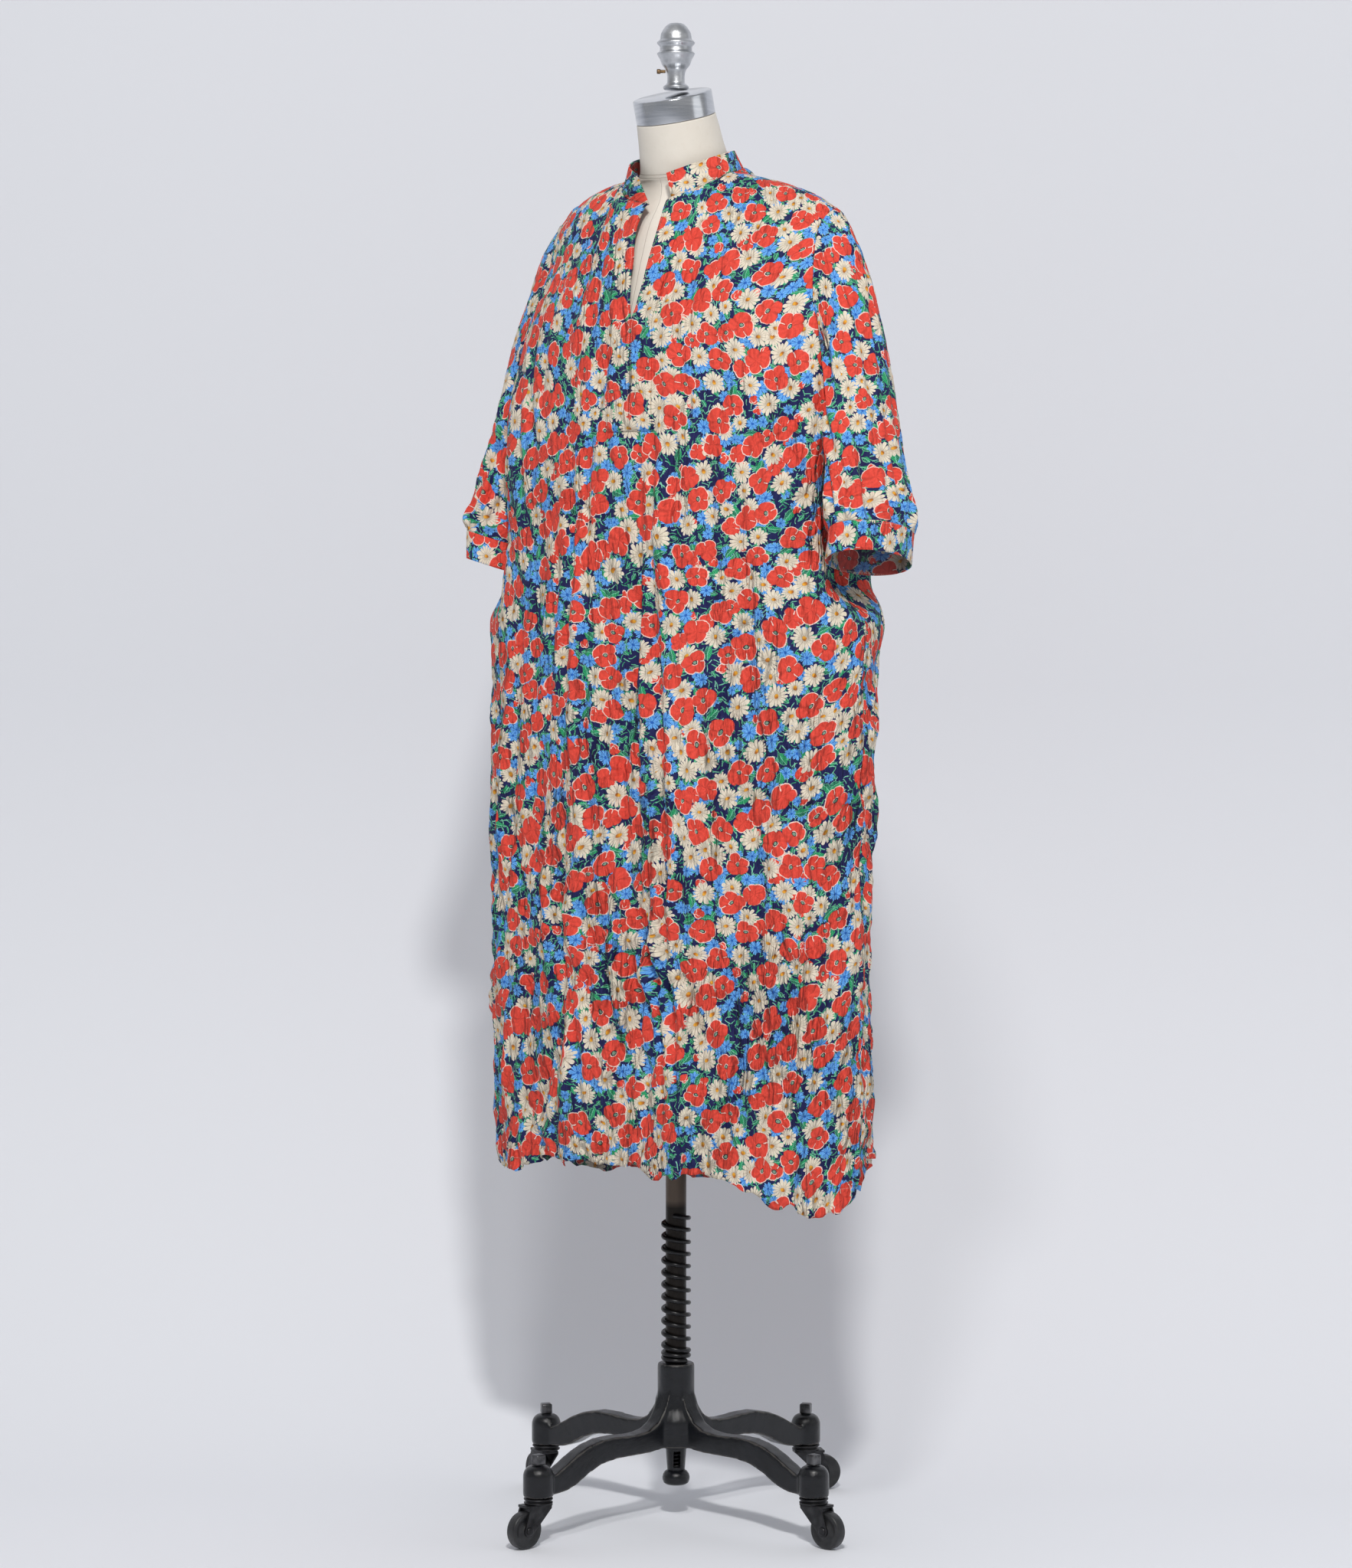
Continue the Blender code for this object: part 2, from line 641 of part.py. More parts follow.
def make_dress(finish):
    sheet = dress_sheet()
    points = np.array(sheet.points)
    normals = sheet.normals()
    for piece, faces in sheet.faces.items():
        thick = BAND if piece.startswith(("cuff", "collar")) else CLOTH
        wall(piece, points, normals, faces, 0.0, -thick, finish)
    make_plackets(sheet, normals, finish)


def make_plackets(sheet, normals, finish):
    """Two bands on the front, made from its points moved out."""
    rows = climbs()
    for side, name in ((1, "left"), (-1, "right")):
        columns = [SLIT_ANGLE + side * s * PLACKET_ANGLE for s in (0.0, 0.5, 1.0)]
        if side < 0:
            columns.reverse()
        grid = [[sheet.vertex(front_point(a, c, side)) for a in columns] for c in rows]
        places = {v: sheet.points[v] for row in grid for v in row}
        for low, high in zip(grid[-2], grid[-1]):
            places[high] = places[high] + (places[low] - places[high]) * 0.35
        number = {v: n for n, v in enumerate(places)}
        faces = []
        for low, high in zip(grid, grid[1:]):
            for i in range(2):
                faces.append([number[v] for v in (low[i], low[i + 1], high[i + 1], high[i])])
        wall("placket_" + name, np.array(list(places.values())),
             np.array([normals[v] for v in places]), faces, GAP + PLACKET_WALL, GAP, finish)


# ---------------------------------------------------------------- form
def form_ring(height, y, half_width, front, back, exponent, lean):
    ring = []
    tilt = Matrix.Rotation(NECK_LEAN * lean, 3, "X")
    for k in range(FORM_SIDES):
        turn = math.tau * k / FORM_SIDES
        across, along = math.sin(turn), -math.cos(turn)
        x = half_width * math.copysign(abs(across) ** (2 / exponent), across)
        depth = front if along < 0 else back
        offset = Vector((x, depth * math.copysign(abs(along) ** (2 / exponent), along), 0.0))
        ring.append(Vector((0.0, y, height)) + tilt @ offset)
    return ring


def make_form(canvas):
    points = [point for row in FORM_RINGS for point in form_ring(*row)]
    faces = []
    for level in range(len(FORM_RINGS) - 1):
        for k in range(FORM_SIDES):
            near, far = level * FORM_SIDES + k, level * FORM_SIDES + (k + 1) % FORM_SIDES
            faces.append((near, far, far + FORM_SIDES, near + FORM_SIDES))
    faces.append(tuple(reversed(range(FORM_SIDES))))
    faces.append(tuple(range(len(points) - FORM_SIDES, len(points))))
    return add_mesh("form_torso", points, [], faces, canvas)


def make_neck_cap(steel):
    cap = turned("neck_cap", ((0.0, CAP_HEIGHT), (CAP_RADIUS - 0.0016, CAP_HEIGHT),
                              (CAP_RADIUS - 0.0006, CAP_HEIGHT - 0.001), (CAP_RADIUS, GAP),
                              (0.0, GAP)), steel, sides=40)
    cap.rotation_euler = (NECK_LEAN, 0.0, 0.0)
    cap.location = CAP_CENTRE


def make_finial(silver, screw_metal):
    turned("finial", FINIAL_PROFILE, silver, sides=24)
    side = math.radians(39.0)
    start = 0.0116
    screw = turned("finial_screw", ((0.0, 0.0098), (0.0021, 0.0098), (0.0027, 0.0092), (0.0027, 0.0058),
                                    (0.0018, 0.0056), (0.0018, 0.0), (0.0, 0.0)), screw_metal, sides=12)
    out = Vector((-math.cos(side), -math.sin(side), 0.0))
    screw.rotation_euler = out.to_track_quat("Z", "Y").to_euler()
    screw.location = out * start + Vector((0.0, 0.0, FINIAL_SCREW_Z))


# ---------------------------------------------------------------- post and base
def make_post(iron, steel):
    turned("post", ((0.0, FORM_FLOOR_Z - 0.0003), (POST_RADIUS, FORM_FLOOR_Z - 0.0003),
                    (POST_RADIUS, POST_FOOT_Z), (0.0, POST_FOOT_Z)), iron, sides=24)
    bore = POST_RADIUS + GAP
    turned("form_socket", ((0.045, FORM_FLOOR_Z - GAP), (0.045, FORM_FLOOR_Z - 0.005),
                           (0.020, FORM_FLOOR_Z - 0.008), (0.020, FORM_FLOOR_Z - 0.036),
                           (bore, FORM_FLOOR_Z - 0.036), (bore, FORM_FLOOR_Z - GAP)),
           steel, sides=24, closed_loop=True)


def make_casting(enamel):
    """Hub, four legs and four sockets as one casting, bored for the post."""
    casting = as_mesh(turned("base_casting", (
        (0.0, HUB_TOP_Z), (HUB_RADIUS - 0.0015, HUB_TOP_Z), (HUB_RADIUS, HUB_TOP_Z - 0.0015),
        (HUB_RADIUS, 0.140), (0.0235, 0.124), (0.0290, 0.110), (0.0300, 0.0815), (0.0, 0.0815)),
        enamel, sides=24))
    outline = [(reach, floor) for reach, floor, _ in LEG_OUTLINE]
    outline += [(reach, top) for reach, _, top in reversed(LEG_OUTLINE)]
    for leg in range(4):
        turn = BASE_TURN + leg * math.pi / 2
        plate = flat_outline(f"leg_{leg}", outline, LEG_THICKNESS, enamel)
        plate.rotation_euler.z = turn
        use_as_tool(as_mesh(plate), casting, "UNION")
        socket = turned(f"socket_{leg}", (
            (0.0, SOCKET_TOP_Z), (0.0092, SOCKET_TOP_Z), (0.0140, 0.0845), (SOCKET_RADIUS, 0.0785),
            (SOCKET_RADIUS, SOCKET_FLOOR_Z + 0.002), (0.0155, SOCKET_FLOOR_Z), (0.0, SOCKET_FLOOR_Z)),
            enamel, sides=20)
        socket.location = (STEM_REACH * math.cos(turn), STEM_REACH * math.sin(turn), 0.0)
        use_as_tool(as_mesh(socket), casting, "UNION")
    bore = turned("post_bore", ((0.0, 0.20), (POST_RADIUS + GAP, 0.20), (POST_RADIUS + GAP, 0.06),
                                (0.0, 0.06)), enamel, sides=24)
    use_as_tool(as_mesh(bore), casting, "DIFFERENCE")


def make_buffer_spring(steel):
    """Coils round the post: closed turns at the hub, then open ones, wound left-handed."""
    points = []
    step = math.tau / 10
    height = HUB_TOP_Z + GAP + SPRING_WIRE
    for n in range(int((SPRING_CLOSED_TURNS + SPRING_TURNS) * 10) + 1):
        points.append((SPRING_RADIUS * math.cos(-n * step), SPRING_RADIUS * math.sin(-n * step), height))
        height += (2.2 * SPRING_WIRE if n < SPRING_CLOSED_TURNS * 10 else SPRING_PITCH) / 10
    wire("buffer_spring", points, SPRING_WIRE, steel)


def make_lower_boss(enamel, steel):
    """The slotted sleeve under the hub, its spring and its round foot."""
    top, floor = HUB_FLOOR_Z - 0.0008, 0.0530
    sleeve = as_mesh(turned("lower_sleeve", (
        (0.0, top), (0.0150, top), (0.0150, top - 0.003), (0.0116, top - 0.0035), (0.0098, floor),
        (0.0076, floor), (0.0076, top - 0.004), (0.0, top - 0.004)), enamel, sides=20))
    slot = flat_outline("sleeve_slot", ((0.0, floor + 0.004), (0.02, floor + 0.004),
                                        (0.02, top - 0.006), (0.0, top - 0.006)), 0.0075, enamel)
    slot.rotation_euler.z = math.radians(-45.0)
    use_as_tool(as_mesh(slot), sleeve, "DIFFERENCE")
    points = []
    for n in range(5 * 8 + 1):
        turn = math.tau * n / 8
        points.append((0.0060 * math.cos(turn), 0.0060 * math.sin(turn), floor + 0.0012 + 0.0042 * n / 8))
    wire("lower_spring", points, 0.0011, steel)
    turned("lower_foot", ((0.0, floor - GAP), (0.0105, floor - GAP), (0.0140, 0.0495), (0.0153, 0.0450),
                          (0.0145, 0.0400), (0.0110, 0.0372), (0.0, 0.0368)), enamel, sides=20)


def make_bolts(chrome):
    for leg, name, _ in CASTERS:
        turn = BASE_TURN + leg * math.pi / 2
        bpy.ops.mesh.primitive_cube_add(size=1.0)
        bolt = bpy.context.object
        bolt.name = f"stem_bolt_{name}"
        size, height = 0.0122, 0.0115
        bolt.data.transform(Matrix.Diagonal((size, size, height, 1.0)))
        bolt.location = (STEM_REACH * math.cos(turn), STEM_REACH * math.sin(turn),
                         SOCKET_TOP_Z + GAP + height / 2)
        bolt.rotation_euler.z = turn + 0.5 * leg
        bevel = bolt.modifiers.new("Bevel", "BEVEL")
        bevel.width = 0.0012
        bevel.segments = 1
        bolt.data.materials.append(chrome)
        for holder in list(bolt.users_collection):
            holder.objects.unlink(bolt)
        PARTS.objects.link(bolt)


# ---------------------------------------------------------------- casters
def make_caster(leg, name, trail_turn, rubber, steel):
    """Race, fork, axle and wheel. The empties stand on the swivel and the wheel axis."""
    turn = BASE_TURN + leg * math.pi / 2
    swivel = bpy.data.objects.new(f"swivel_{name}", None)
    swivel.location = (STEM_REACH * math.cos(turn), STEM_REACH * math.sin(turn), 0.0)
    swivel.rotation_euler.z = turn + math.radians(trail_turn)
    PARTS.objects.link(swivel)
    race_top = SOCKET_FLOOR_Z - 2 * GAP
    race = turned(f"caster_race_{name}", (
        (0.0, race_top), (0.0158, race_top), (0.0158, race_top - 0.0016), (0.0136, race_top - 0.0026),
        (0.0136, race_top - 0.0036), (0.0160, race_top - 0.0046), (0.0152, 0.0466), (0.0, 0.0466)),
        steel, sides=20)
    fork = make_fork(name, steel)
    wheel, axle = make_wheel(name, rubber, steel)
    for piece in (race, fork, wheel, axle):
        piece.parent = swivel


def make_fork(name, steel):
    """A bent fork: a top plate and two cheeks that lean back to the axle."""
    plate_top, plate_floor = 0.0463, 0.0436
    outline = [(-0.0140, -0.0075), (-0.0140, 0.0075), (-0.0085, 0.0100), (0.0200, 0.0100),
               (0.0200, -0.0100), (-0.0085, -0.0100)]
    plate = flat_outline(f"caster_fork_{name}", outline, plate_top - plate_floor, steel)
    plate.rotation_euler = (0.0, 0.0, 0.0)
    plate.location.z = (plate_top + plate_floor) / 2
    fork = as_mesh(plate)
    round_end = [(CASTER_TRAIL + 0.0066 * math.cos(a), WHEEL_RADIUS + 0.0066 * math.sin(a))
                 for a in np.linspace(math.radians(-160), math.radians(20), 9)]
    cheek_line = [(-0.0110, 0.0450), (-0.0110, 0.0415)] + round_end + [(0.0180, 0.0450)]
    bore = AXLE_RADIUS + GAP
    hole = [(CASTER_TRAIL + bore * math.cos(a), WHEEL_RADIUS + bore * math.sin(a))
            for a in np.linspace(0, math.tau, 12, endpoint=False)]
    for side in (-1, 1):
        cheek = as_mesh(flat_outline(f"cheek_{name}_{side}", cheek_line, FORK_WALL, steel))
        cheek.location.y = side * (FORK_INSIDE + FORK_WALL / 2)
        use_as_tool(cheek, fork, "UNION")
    pin = as_mesh(flat_outline(f"pin_hole_{name}", hole, 0.05, steel))
    use_as_tool(pin, fork, "DIFFERENCE")
    return fork


def make_wheel(name, rubber, steel):
    """The wheel's rim has a flat on the floor; its bore runs on the axle."""
    rim = WHEEL_RADIUS / math.cos(math.pi / WHEEL_SIDES)
    half, bore = WHEEL_WIDTH / 2, AXLE_RADIUS + GAP
    wheel = turned(f"caster_wheel_{name}", (
        (0.0065, half + 0.0008), (0.0110, half - 0.0010), (rim - 0.0014, half), (rim, half - 0.0018),
        (rim, 0.0018 - half), (rim - 0.0014, -half), (0.0110, 0.0010 - half), (0.0065, -half - 0.0008),
        (bore, -half - 0.0008), (bore, half + 0.0008)), rubber, sides=WHEEL_SIDES, closed_loop=True)
    head = FORK_INSIDE + FORK_WALL + GAP
    axle = turned(f"caster_axle_{name}", (
        (0.0, head + 0.0014), (0.0040, head + 0.0014), (0.0046, head), (AXLE_RADIUS, head),
        (AXLE_RADIUS, -head), (0.0046, -head), (0.0040, -head - 0.0014), (0.0, -head - 0.0014)),
        steel, sides=12)
    half_side = math.pi / WHEEL_SIDES
    for piece, roll in ((wheel, half_side + math.pi / 2), (axle, 0.0)):
        spin = Matrix.Rotation(math.pi / 2, 4, "X") @ Matrix.Rotation(roll, 4, "Z")
        piece.rotation_euler = spin.to_euler()
        piece.location = (CASTER_TRAIL, 0.0, WHEEL_RADIUS)
    return wheel, axle


# ---------------------------------------------------------------- the whole
def main():
    printed = material("printed_cloth", (0.30, 0.16, 0.17), 0.55)
    canvas = material("canvas", (0.72, 0.68, 0.60), 0.85)
    polished = material("polished_cap", (0.60, 0.61, 0.63), 0.22, 1.0)
    silver = material("cast_silver", (0.66, 0.67, 0.68), 0.38, 1.0)
    brass = material("set_screw", (0.42, 0.32, 0.22), 0.45, 1.0)
    iron = material("post_iron", (0.10, 0.085, 0.07), 0.5, 0.6)
    enamel = material("black_enamel", (0.012, 0.013, 0.016), 0.3)
    spring_steel = material("spring_steel", (0.012, 0.012, 0.013), 0.3, 0.3)
    chrome = material("stem_bolt", (0.10, 0.10, 0.10), 0.25, 0.8)
    caster_steel = material("caster_steel", (0.05, 0.05, 0.05), 0.4, 0.6)
    rubber = material("wheel_rubber", (0.02, 0.02, 0.022), 0.5)

    make_dress(printed)
    make_form(canvas)
    make_neck_cap(polished)
    make_finial(silver, brass)
    make_post(iron, caster_steel)
    make_casting(enamel)
    make_buffer_spring(spring_steel)
    make_lower_boss(enamel, spring_steel)
    make_bolts(chrome)
    for leg, name, trail_turn in CASTERS:
        make_caster(leg, name, trail_turn, rubber, caster_steel)


clear_scene()
PARTS = collection("dress_on_form")
CUTTERS = collection("cutters")
main()
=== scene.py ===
"""A printed shirt dress on a limbless dress form with a wheeled cast stand.

Run as a script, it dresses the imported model: cloth with its folds and creases, a
scattered field-flower print, canvas, polished and enamelled metal, and a pale studio.
"""

import itertools
import json
import math
from contextlib import contextmanager

import bmesh
import bpy
import numpy as np
from bpy.props import FloatProperty, FloatVectorProperty, PointerProperty
from mathutils import Matrix, Vector

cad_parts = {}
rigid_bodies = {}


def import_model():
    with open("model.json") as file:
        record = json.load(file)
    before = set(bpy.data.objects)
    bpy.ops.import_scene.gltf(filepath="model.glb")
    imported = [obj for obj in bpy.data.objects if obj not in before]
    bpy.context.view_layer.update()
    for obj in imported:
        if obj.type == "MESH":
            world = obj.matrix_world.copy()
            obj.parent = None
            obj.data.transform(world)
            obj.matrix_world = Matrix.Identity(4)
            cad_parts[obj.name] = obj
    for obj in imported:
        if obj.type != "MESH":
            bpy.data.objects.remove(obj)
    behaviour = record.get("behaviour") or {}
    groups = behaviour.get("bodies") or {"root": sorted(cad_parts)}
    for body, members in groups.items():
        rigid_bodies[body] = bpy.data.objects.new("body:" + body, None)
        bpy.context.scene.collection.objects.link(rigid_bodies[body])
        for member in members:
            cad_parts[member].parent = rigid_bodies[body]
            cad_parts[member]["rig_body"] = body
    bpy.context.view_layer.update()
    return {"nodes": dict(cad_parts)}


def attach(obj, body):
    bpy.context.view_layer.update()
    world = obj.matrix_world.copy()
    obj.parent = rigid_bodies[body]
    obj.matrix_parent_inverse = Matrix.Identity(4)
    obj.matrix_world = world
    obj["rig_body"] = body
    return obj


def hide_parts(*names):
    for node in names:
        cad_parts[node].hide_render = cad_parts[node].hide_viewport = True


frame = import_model()
NODES = frame["nodes"]

bl_info = {
    "name": "Shirt dress on a dress form",
    "version": (1, 0, 0),
    "blender": (4, 5, 0),
    "location": "3D View > Sidebar > Shirt Dress",
    "description": "Builds the cloth, print, canvas, metal and studio round the packed dress and stand",
    "category": "Object",
}

# ---------------------------------------------------------------- sizes of the dress
GAP = 0.0003  # between pieces that rest on each other
CLOTH_THICKNESS = 0.0007
BAND_THICKNESS = 0.0013
SKIRT_ROWS = 204
CHEST_ROWS = 76
SHOULDER_COLUMNS = 52
SLEEVE_ROWS = 88
BAND_ROWS = 12

BODY_Y = 0.012
UNDERARM_Z = 1.208
CHEST_HALF_WIDTH = 0.250
SIDE_DENT_WIDTH = 23.0
SLIT_X = 0.015
PLACKET_WIDTH = 0.030
NECK_COLUMN = 20.0
NECK_CORNER = 94.8

NECK_SEAM = {"y": 0.012, "half_width": 0.072, "half_depth": 0.060,
             "low": 1.460, "rise": 0.046, "curve": 0.8}
COLLAR_TOP = {"y": 0.010, "half_width": 0.062, "half_depth": 0.054,
              "low": 1.489, "rise": 0.035, "curve": 0.6}
COLLAR_END_SLANT = {"left": 5.0, "right": 24.0}
SLIT_TURNS = {"left": 22.0, "right": 1.5}

CUFF_HEIGHT = 0.032
CUFF_CENTRE = (0.2590, 0.0150, 1.096)
CUFF_HALF_WIDTH = 0.036
CUFF_HALF_DEPTH = 0.062
RIGHT_CUFF_DROP = 0.008
CUFF_TILT_OUT = 0.26
CUFF_TILT_FRONT = 0.17
SLEEVE_BLOUSE = 0.0055
SLEEVE_GIRTH = 0.40
SLEEVE_LENGTH = 0.30
GATHER_WAVES = 18.6
FORM_STOPS_CREASES = 0.0115  # deepest that a fold may go in over the form
FREE_BELOW_Z = 0.72  # the cloth hangs clear of the form below this
LAID_ABOVE_Z = 1.44  # the cloth lies on the form above this
CRINKLES = (
    # depth, stretch along the cloth, scale, shift
    (0.0095, 0.20, 27.0, 0.0), (0.0070, 0.28, 54.0, 5.0), (0.0028, 0.45, 105.0, 13.0),
)
SHOULDER_SINK = 0.0065

BODY_RINGS = (
    # height, half_width, front, back, dent, set_back
    (0.34, 0.245, 0.122, 0.125, 0.0, 0.0), (0.47, 0.25, 0.121, 0.126, 0.0, -0.003),
    (0.68, 0.254, 0.119, 0.126, 0.0, -0.007), (0.85, 0.255, 0.117, 0.126, 0.0, -0.006),
    (0.96, 0.26, 0.115, 0.127, 0.02, -0.002), (1.0, 0.267, 0.114, 0.129, 0.05, 0.0),
    (1.045, 0.257, 0.113, 0.128, 0.175, 0.0), (1.15, 0.25, 0.113, 0.128, 0.175, 0.0),
    (1.208, 0.25, 0.113, 0.127, 0.136, 0.002), (1.33, 0.228, 0.111, 0.124, 0.09, 0.02),
    (1.4, 0.207, 0.101, 0.118, 0.04, 0.03), (1.475, 0.2, 0.086, 0.108, 0.04, 0.03),
    (1.51, 0.196, 0.078, 0.1, 0.04, 0.03),
)
HEM_LINE = (
    # angle, height
    (-180, 0.36), (-140, 0.364), (-100, 0.38), (-72, 0.388), (-45, 0.382), (-18, 0.406), (8, 0.402),
    (28, 0.4), (42, 0.382), (55, 0.368), (69, 0.356), (80, 0.372), (95, 0.392), (108, 0.412),
    (125, 0.396), (150, 0.366), (180, 0.36),
)
FOLDS = (
    # angle, top, foot, depth, width, lean
    (-10.0, 1.21, 0.34, 0.0075, 5.0, -4.0), (3.5, 1.21, 0.34, -0.01, 5.5, 3.0),
    (15.0, 1.21, 0.34, 0.008, 6.0, 9.0), (34.0, 1.28, 0.45, -0.0055, 7.0, 6.0),
    (50.0, 1.05, 0.34, 0.006, 8.0, 6.0), (72.0, 1.02, 0.34, -0.0065, 7.0, -5.0),
    (-30.0, 1.2, 0.4, -0.0065, 7.0, -7.0), (-46.0, 1.1, 0.34, 0.0065, 8.0, 2.0),
    (-68.0, 1.1, 0.34, 0.005, 8.0, 4.0), (112.0, 1.05, 0.34, -0.006, 9.0, 3.0),
    (134.0, 1.15, 0.34, -0.007, 8.0, -4.0), (156.0, 1.24, 0.34, 0.0065, 8.0, 2.0),
    (178.0, 1.26, 0.36, -0.0075, 8.0, 3.0), (-158.0, 1.22, 0.34, 0.0065, 8.0, -3.0),
    (-134.0, 1.12, 0.34, -0.0065, 8.0, 4.0), (-112.0, 1.04, 0.34, 0.006, 9.0, -3.0),
)
ARMHOLE = (
    # climb, front_angle, back_angle
    (0.0, 90.0, 90.0), (0.11, 79.0, 80.0), (0.3, 66.0, 67.0), (0.6, 66.0, 67.0), (1.0, 74.0, 74.0),
)
ROUNDING = (
    # column_angle, front, back
    (0.0, 0.9, 0.85), (20.0, 0.88, 0.68), (42.0, 0.72, 0.72), (90.0, 0.7, 0.7),
)
SHOULDER = (
    # run, x, y, z
    (0.0, 0.0715, 0.017, 1.5024), (0.34, 0.116, 0.023, 1.4855), (0.64, 0.152, 0.029, 1.473),
    (0.82, 0.1775, 0.033, 1.4645), (1.0, 0.203, 0.036, 1.456),
)
SLIT_OPENING = (
    # height, half_gap
    (1.326, 0.0), (1.345, 0.005), (1.36, 0.0078), (1.395, 0.0124), (1.437, 0.0168), (1.462, 0.015),
)
SLIT_ANGLE = math.degrees(math.asin(SLIT_X / CHEST_HALF_WIDTH))
PLACKET_ANGLE = math.degrees(math.asin((SLIT_X + PLACKET_WIDTH) / CHEST_HALF_WIDTH)) - SLIT_ANGLE

# Creases in millimetres: across is measured round the cloth from the centre line, height is
# above the floor, bow is how far the middle swings, and depth is out of the cloth.
FRONT_CREASES = (
    # across, height, across, height, bow, width, depth
    (30, 1215, 34, 1000, 4, 7, -5), (34, 1010, 58, 700, -4, 7.5, -6), (56, 730, 72, 560, 6, 6.5, -5.5),
    (12, 1205, 4, 930, -4, 6, -4.5), (4, 960, -12, 760, 5, 6.5, -4.5),
    (-10, 790, 22, 640, 8, 5.5, -4.5), (12, 690, 60, 530, -8, 4.8, -6), (47, 1200, 60, 1020, 4, 8, 4),
    (20, 1000, 36, 740, 4, 7.5, 4.2), (70, 640, 110, 540, -10, 5, -5), (85, 600, 100, 470, 6, 6, 4),
    (45, 590, 62, 470, -4, 5.5, -4), (26, 560, 18, 430, 4, 5.5, 3.5), (-55, 1240, -60, 1080, 3, 8, -3),
    (-85, 1180, -96, 950, -5, 8, -3.6), (-70, 1060, -74, 800, 6, 8.5, 3.4),
    (-110, 1080, -130, 860, 6, 7.5, -3.4), (-50, 860, -68, 640, -6, 6.5, -3.6),
    (-96, 800, -100, 590, 6, 7, -3.4), (-140, 780, -128, 570, -5, 7, 3.2),
    (-35, 640, -10, 520, 5, 5.5, -3.6), (-80, 570, -60, 450, -5, 5.5, -3.6),
    (-120, 540, -140, 430, 4, 6, -3.4), (-150, 640, -185, 520, 6, 6, -3),
    (-180, 1020, -190, 820, 5, 8, -3), (-215, 900, -222, 700, -4, 8, 2.8),
    (100, 1240, 112, 1060, 3, 8, -3.4), (128, 1160, 150, 930, -6, 8, -3.6),
    (112, 1000, 134, 760, 6, 8, 3.2), (160, 1050, 168, 860, 4, 7.5, -3),
    (150, 840, 180, 640, -6, 7, -3.6), (120, 720, 128, 560, 5, 6.5, -3.4),
    (200, 900, 196, 700, 5, 7.5, 3), (172, 600, 160, 470, 6, 6, -3.6),
    (210, 640, 236, 480, -6, 6.5, -3.4), (135, 520, 150, 420, 3, 5.5, -3.4),
    (240, 780, 244, 590, 5, 7, -2.8), (205, 500, 196, 400, -4, 5.5, 3),
    (180, 1330, 150, 1190, -10, 8, -3.6), (198, 1290, 176, 1120, -8, 7.5, -3.6),
    (-178, 1330, -150, 1180, 10, 8, -3.4), (-196, 1280, -176, 1110, 8, 7.5, -3.2),
    (60, 1420, 86, 1310, 6, 8, -2.4), (-52, 1420, -76, 1300, -6, 8, -2.4),
    (-30, 1300, -46, 1220, 4, 6.5, -2.8), (64, 1310, 76, 1220, 4, 7, -2.4),
)
BACK_CREASES = (
    # across, height, across, height, bow, width, depth
    (0, 1180, 10, 940, 5, 8.5, -4.6), (12, 960, -14, 700, -6, 8, -4.4), (-14, 720, 12, 520, 6, 7, -4.2),
    (50, 1160, 62, 900, -6, 8.5, 4), (66, 880, 48, 620, 6, 8, -4), (44, 640, 64, 460, -5, 6, -4),
    (-46, 1150, -60, 880, 6, 8.5, -4), (-62, 900, -50, 660, -6, 7.5, 4),
    (-48, 640, -76, 470, 6, 6, -4.2), (104, 1120, 120, 860, 6, 8.5, -3.8),
    (122, 840, 104, 600, -6, 7.5, 3.6), (100, 620, 126, 450, 5, 6, -4),
    (-104, 1100, -118, 850, -5, 8.5, 3.6), (-120, 860, -100, 620, 6, 7.5, -4),
    (-104, 600, -124, 440, -4, 6, -3.8), (158, 1060, 170, 820, -5, 8, -3.6),
    (170, 800, 158, 560, 5, 7, -3.6), (-158, 1050, -172, 820, 5, 8, -3.6),
    (-170, 790, -156, 560, -5, 7, 3.4), (216, 960, 224, 720, 5, 8, 3),
    (-216, 950, -226, 700, -5, 8, -3), (198, 640, 216, 470, -4, 6, -3.4),
    (-200, 640, -188, 470, 4, 6, -3.4), (170, 1320, 140, 1180, -8, 8.5, -3.4),
    (-170, 1320, -138, 1170, 8, 8.5, -3.4), (60, 1400, 44, 1240, 6, 9, -2.6),
    (-62, 1400, -48, 1250, -6, 9, -2.6),
)
# Creases of a sleeve: round is the share of the way round from the underarm by the
# front, and down is the share of the way to the cuff.
SLEEVE_CREASES = (
    # round, down, round, down, bow, width, depth
    (0.1, 0.14, 0.26, 0.52, 0.01, 0.007, -0.0036), (0.14, 0.34, 0.3, 0.78, -0.01, 0.0065, -0.0034),
    (0.2, 0.72, 0.24, 0.99, 0.004, 0.0055, -0.0042), (0.3, 0.8, 0.32, 0.99, -0.003, 0.005, 0.0036),
    (0.36, 0.66, 0.39, 0.99, 0.004, 0.0055, -0.004), (0.44, 0.78, 0.45, 0.99, -0.003, 0.005, 0.0036),
    (0.5, 0.6, 0.52, 0.99, 0.004, 0.0055, -0.004), (0.57, 0.82, 0.58, 0.99, 0.003, 0.005, 0.0036),
    (0.64, 0.7, 0.65, 0.99, -0.004, 0.0055, -0.004), (0.74, 0.76, 0.75, 0.99, 0.004, 0.0055, 0.0036),
    (0.82, 0.66, 0.84, 0.99, 0.004, 0.0055, -0.004), (0.36, 0.2, 0.44, 0.6, 0.01, 0.008, -0.003),
    (0.58, 0.18, 0.5, 0.56, -0.01, 0.008, -0.003), (0.68, 0.24, 0.6, 0.7, 0.01, 0.0075, -0.0032),
    (0.86, 0.12, 0.74, 0.5, -0.01, 0.007, -0.0036), (0.9, 0.36, 0.78, 0.74, 0.01, 0.0065, -0.0034),
)

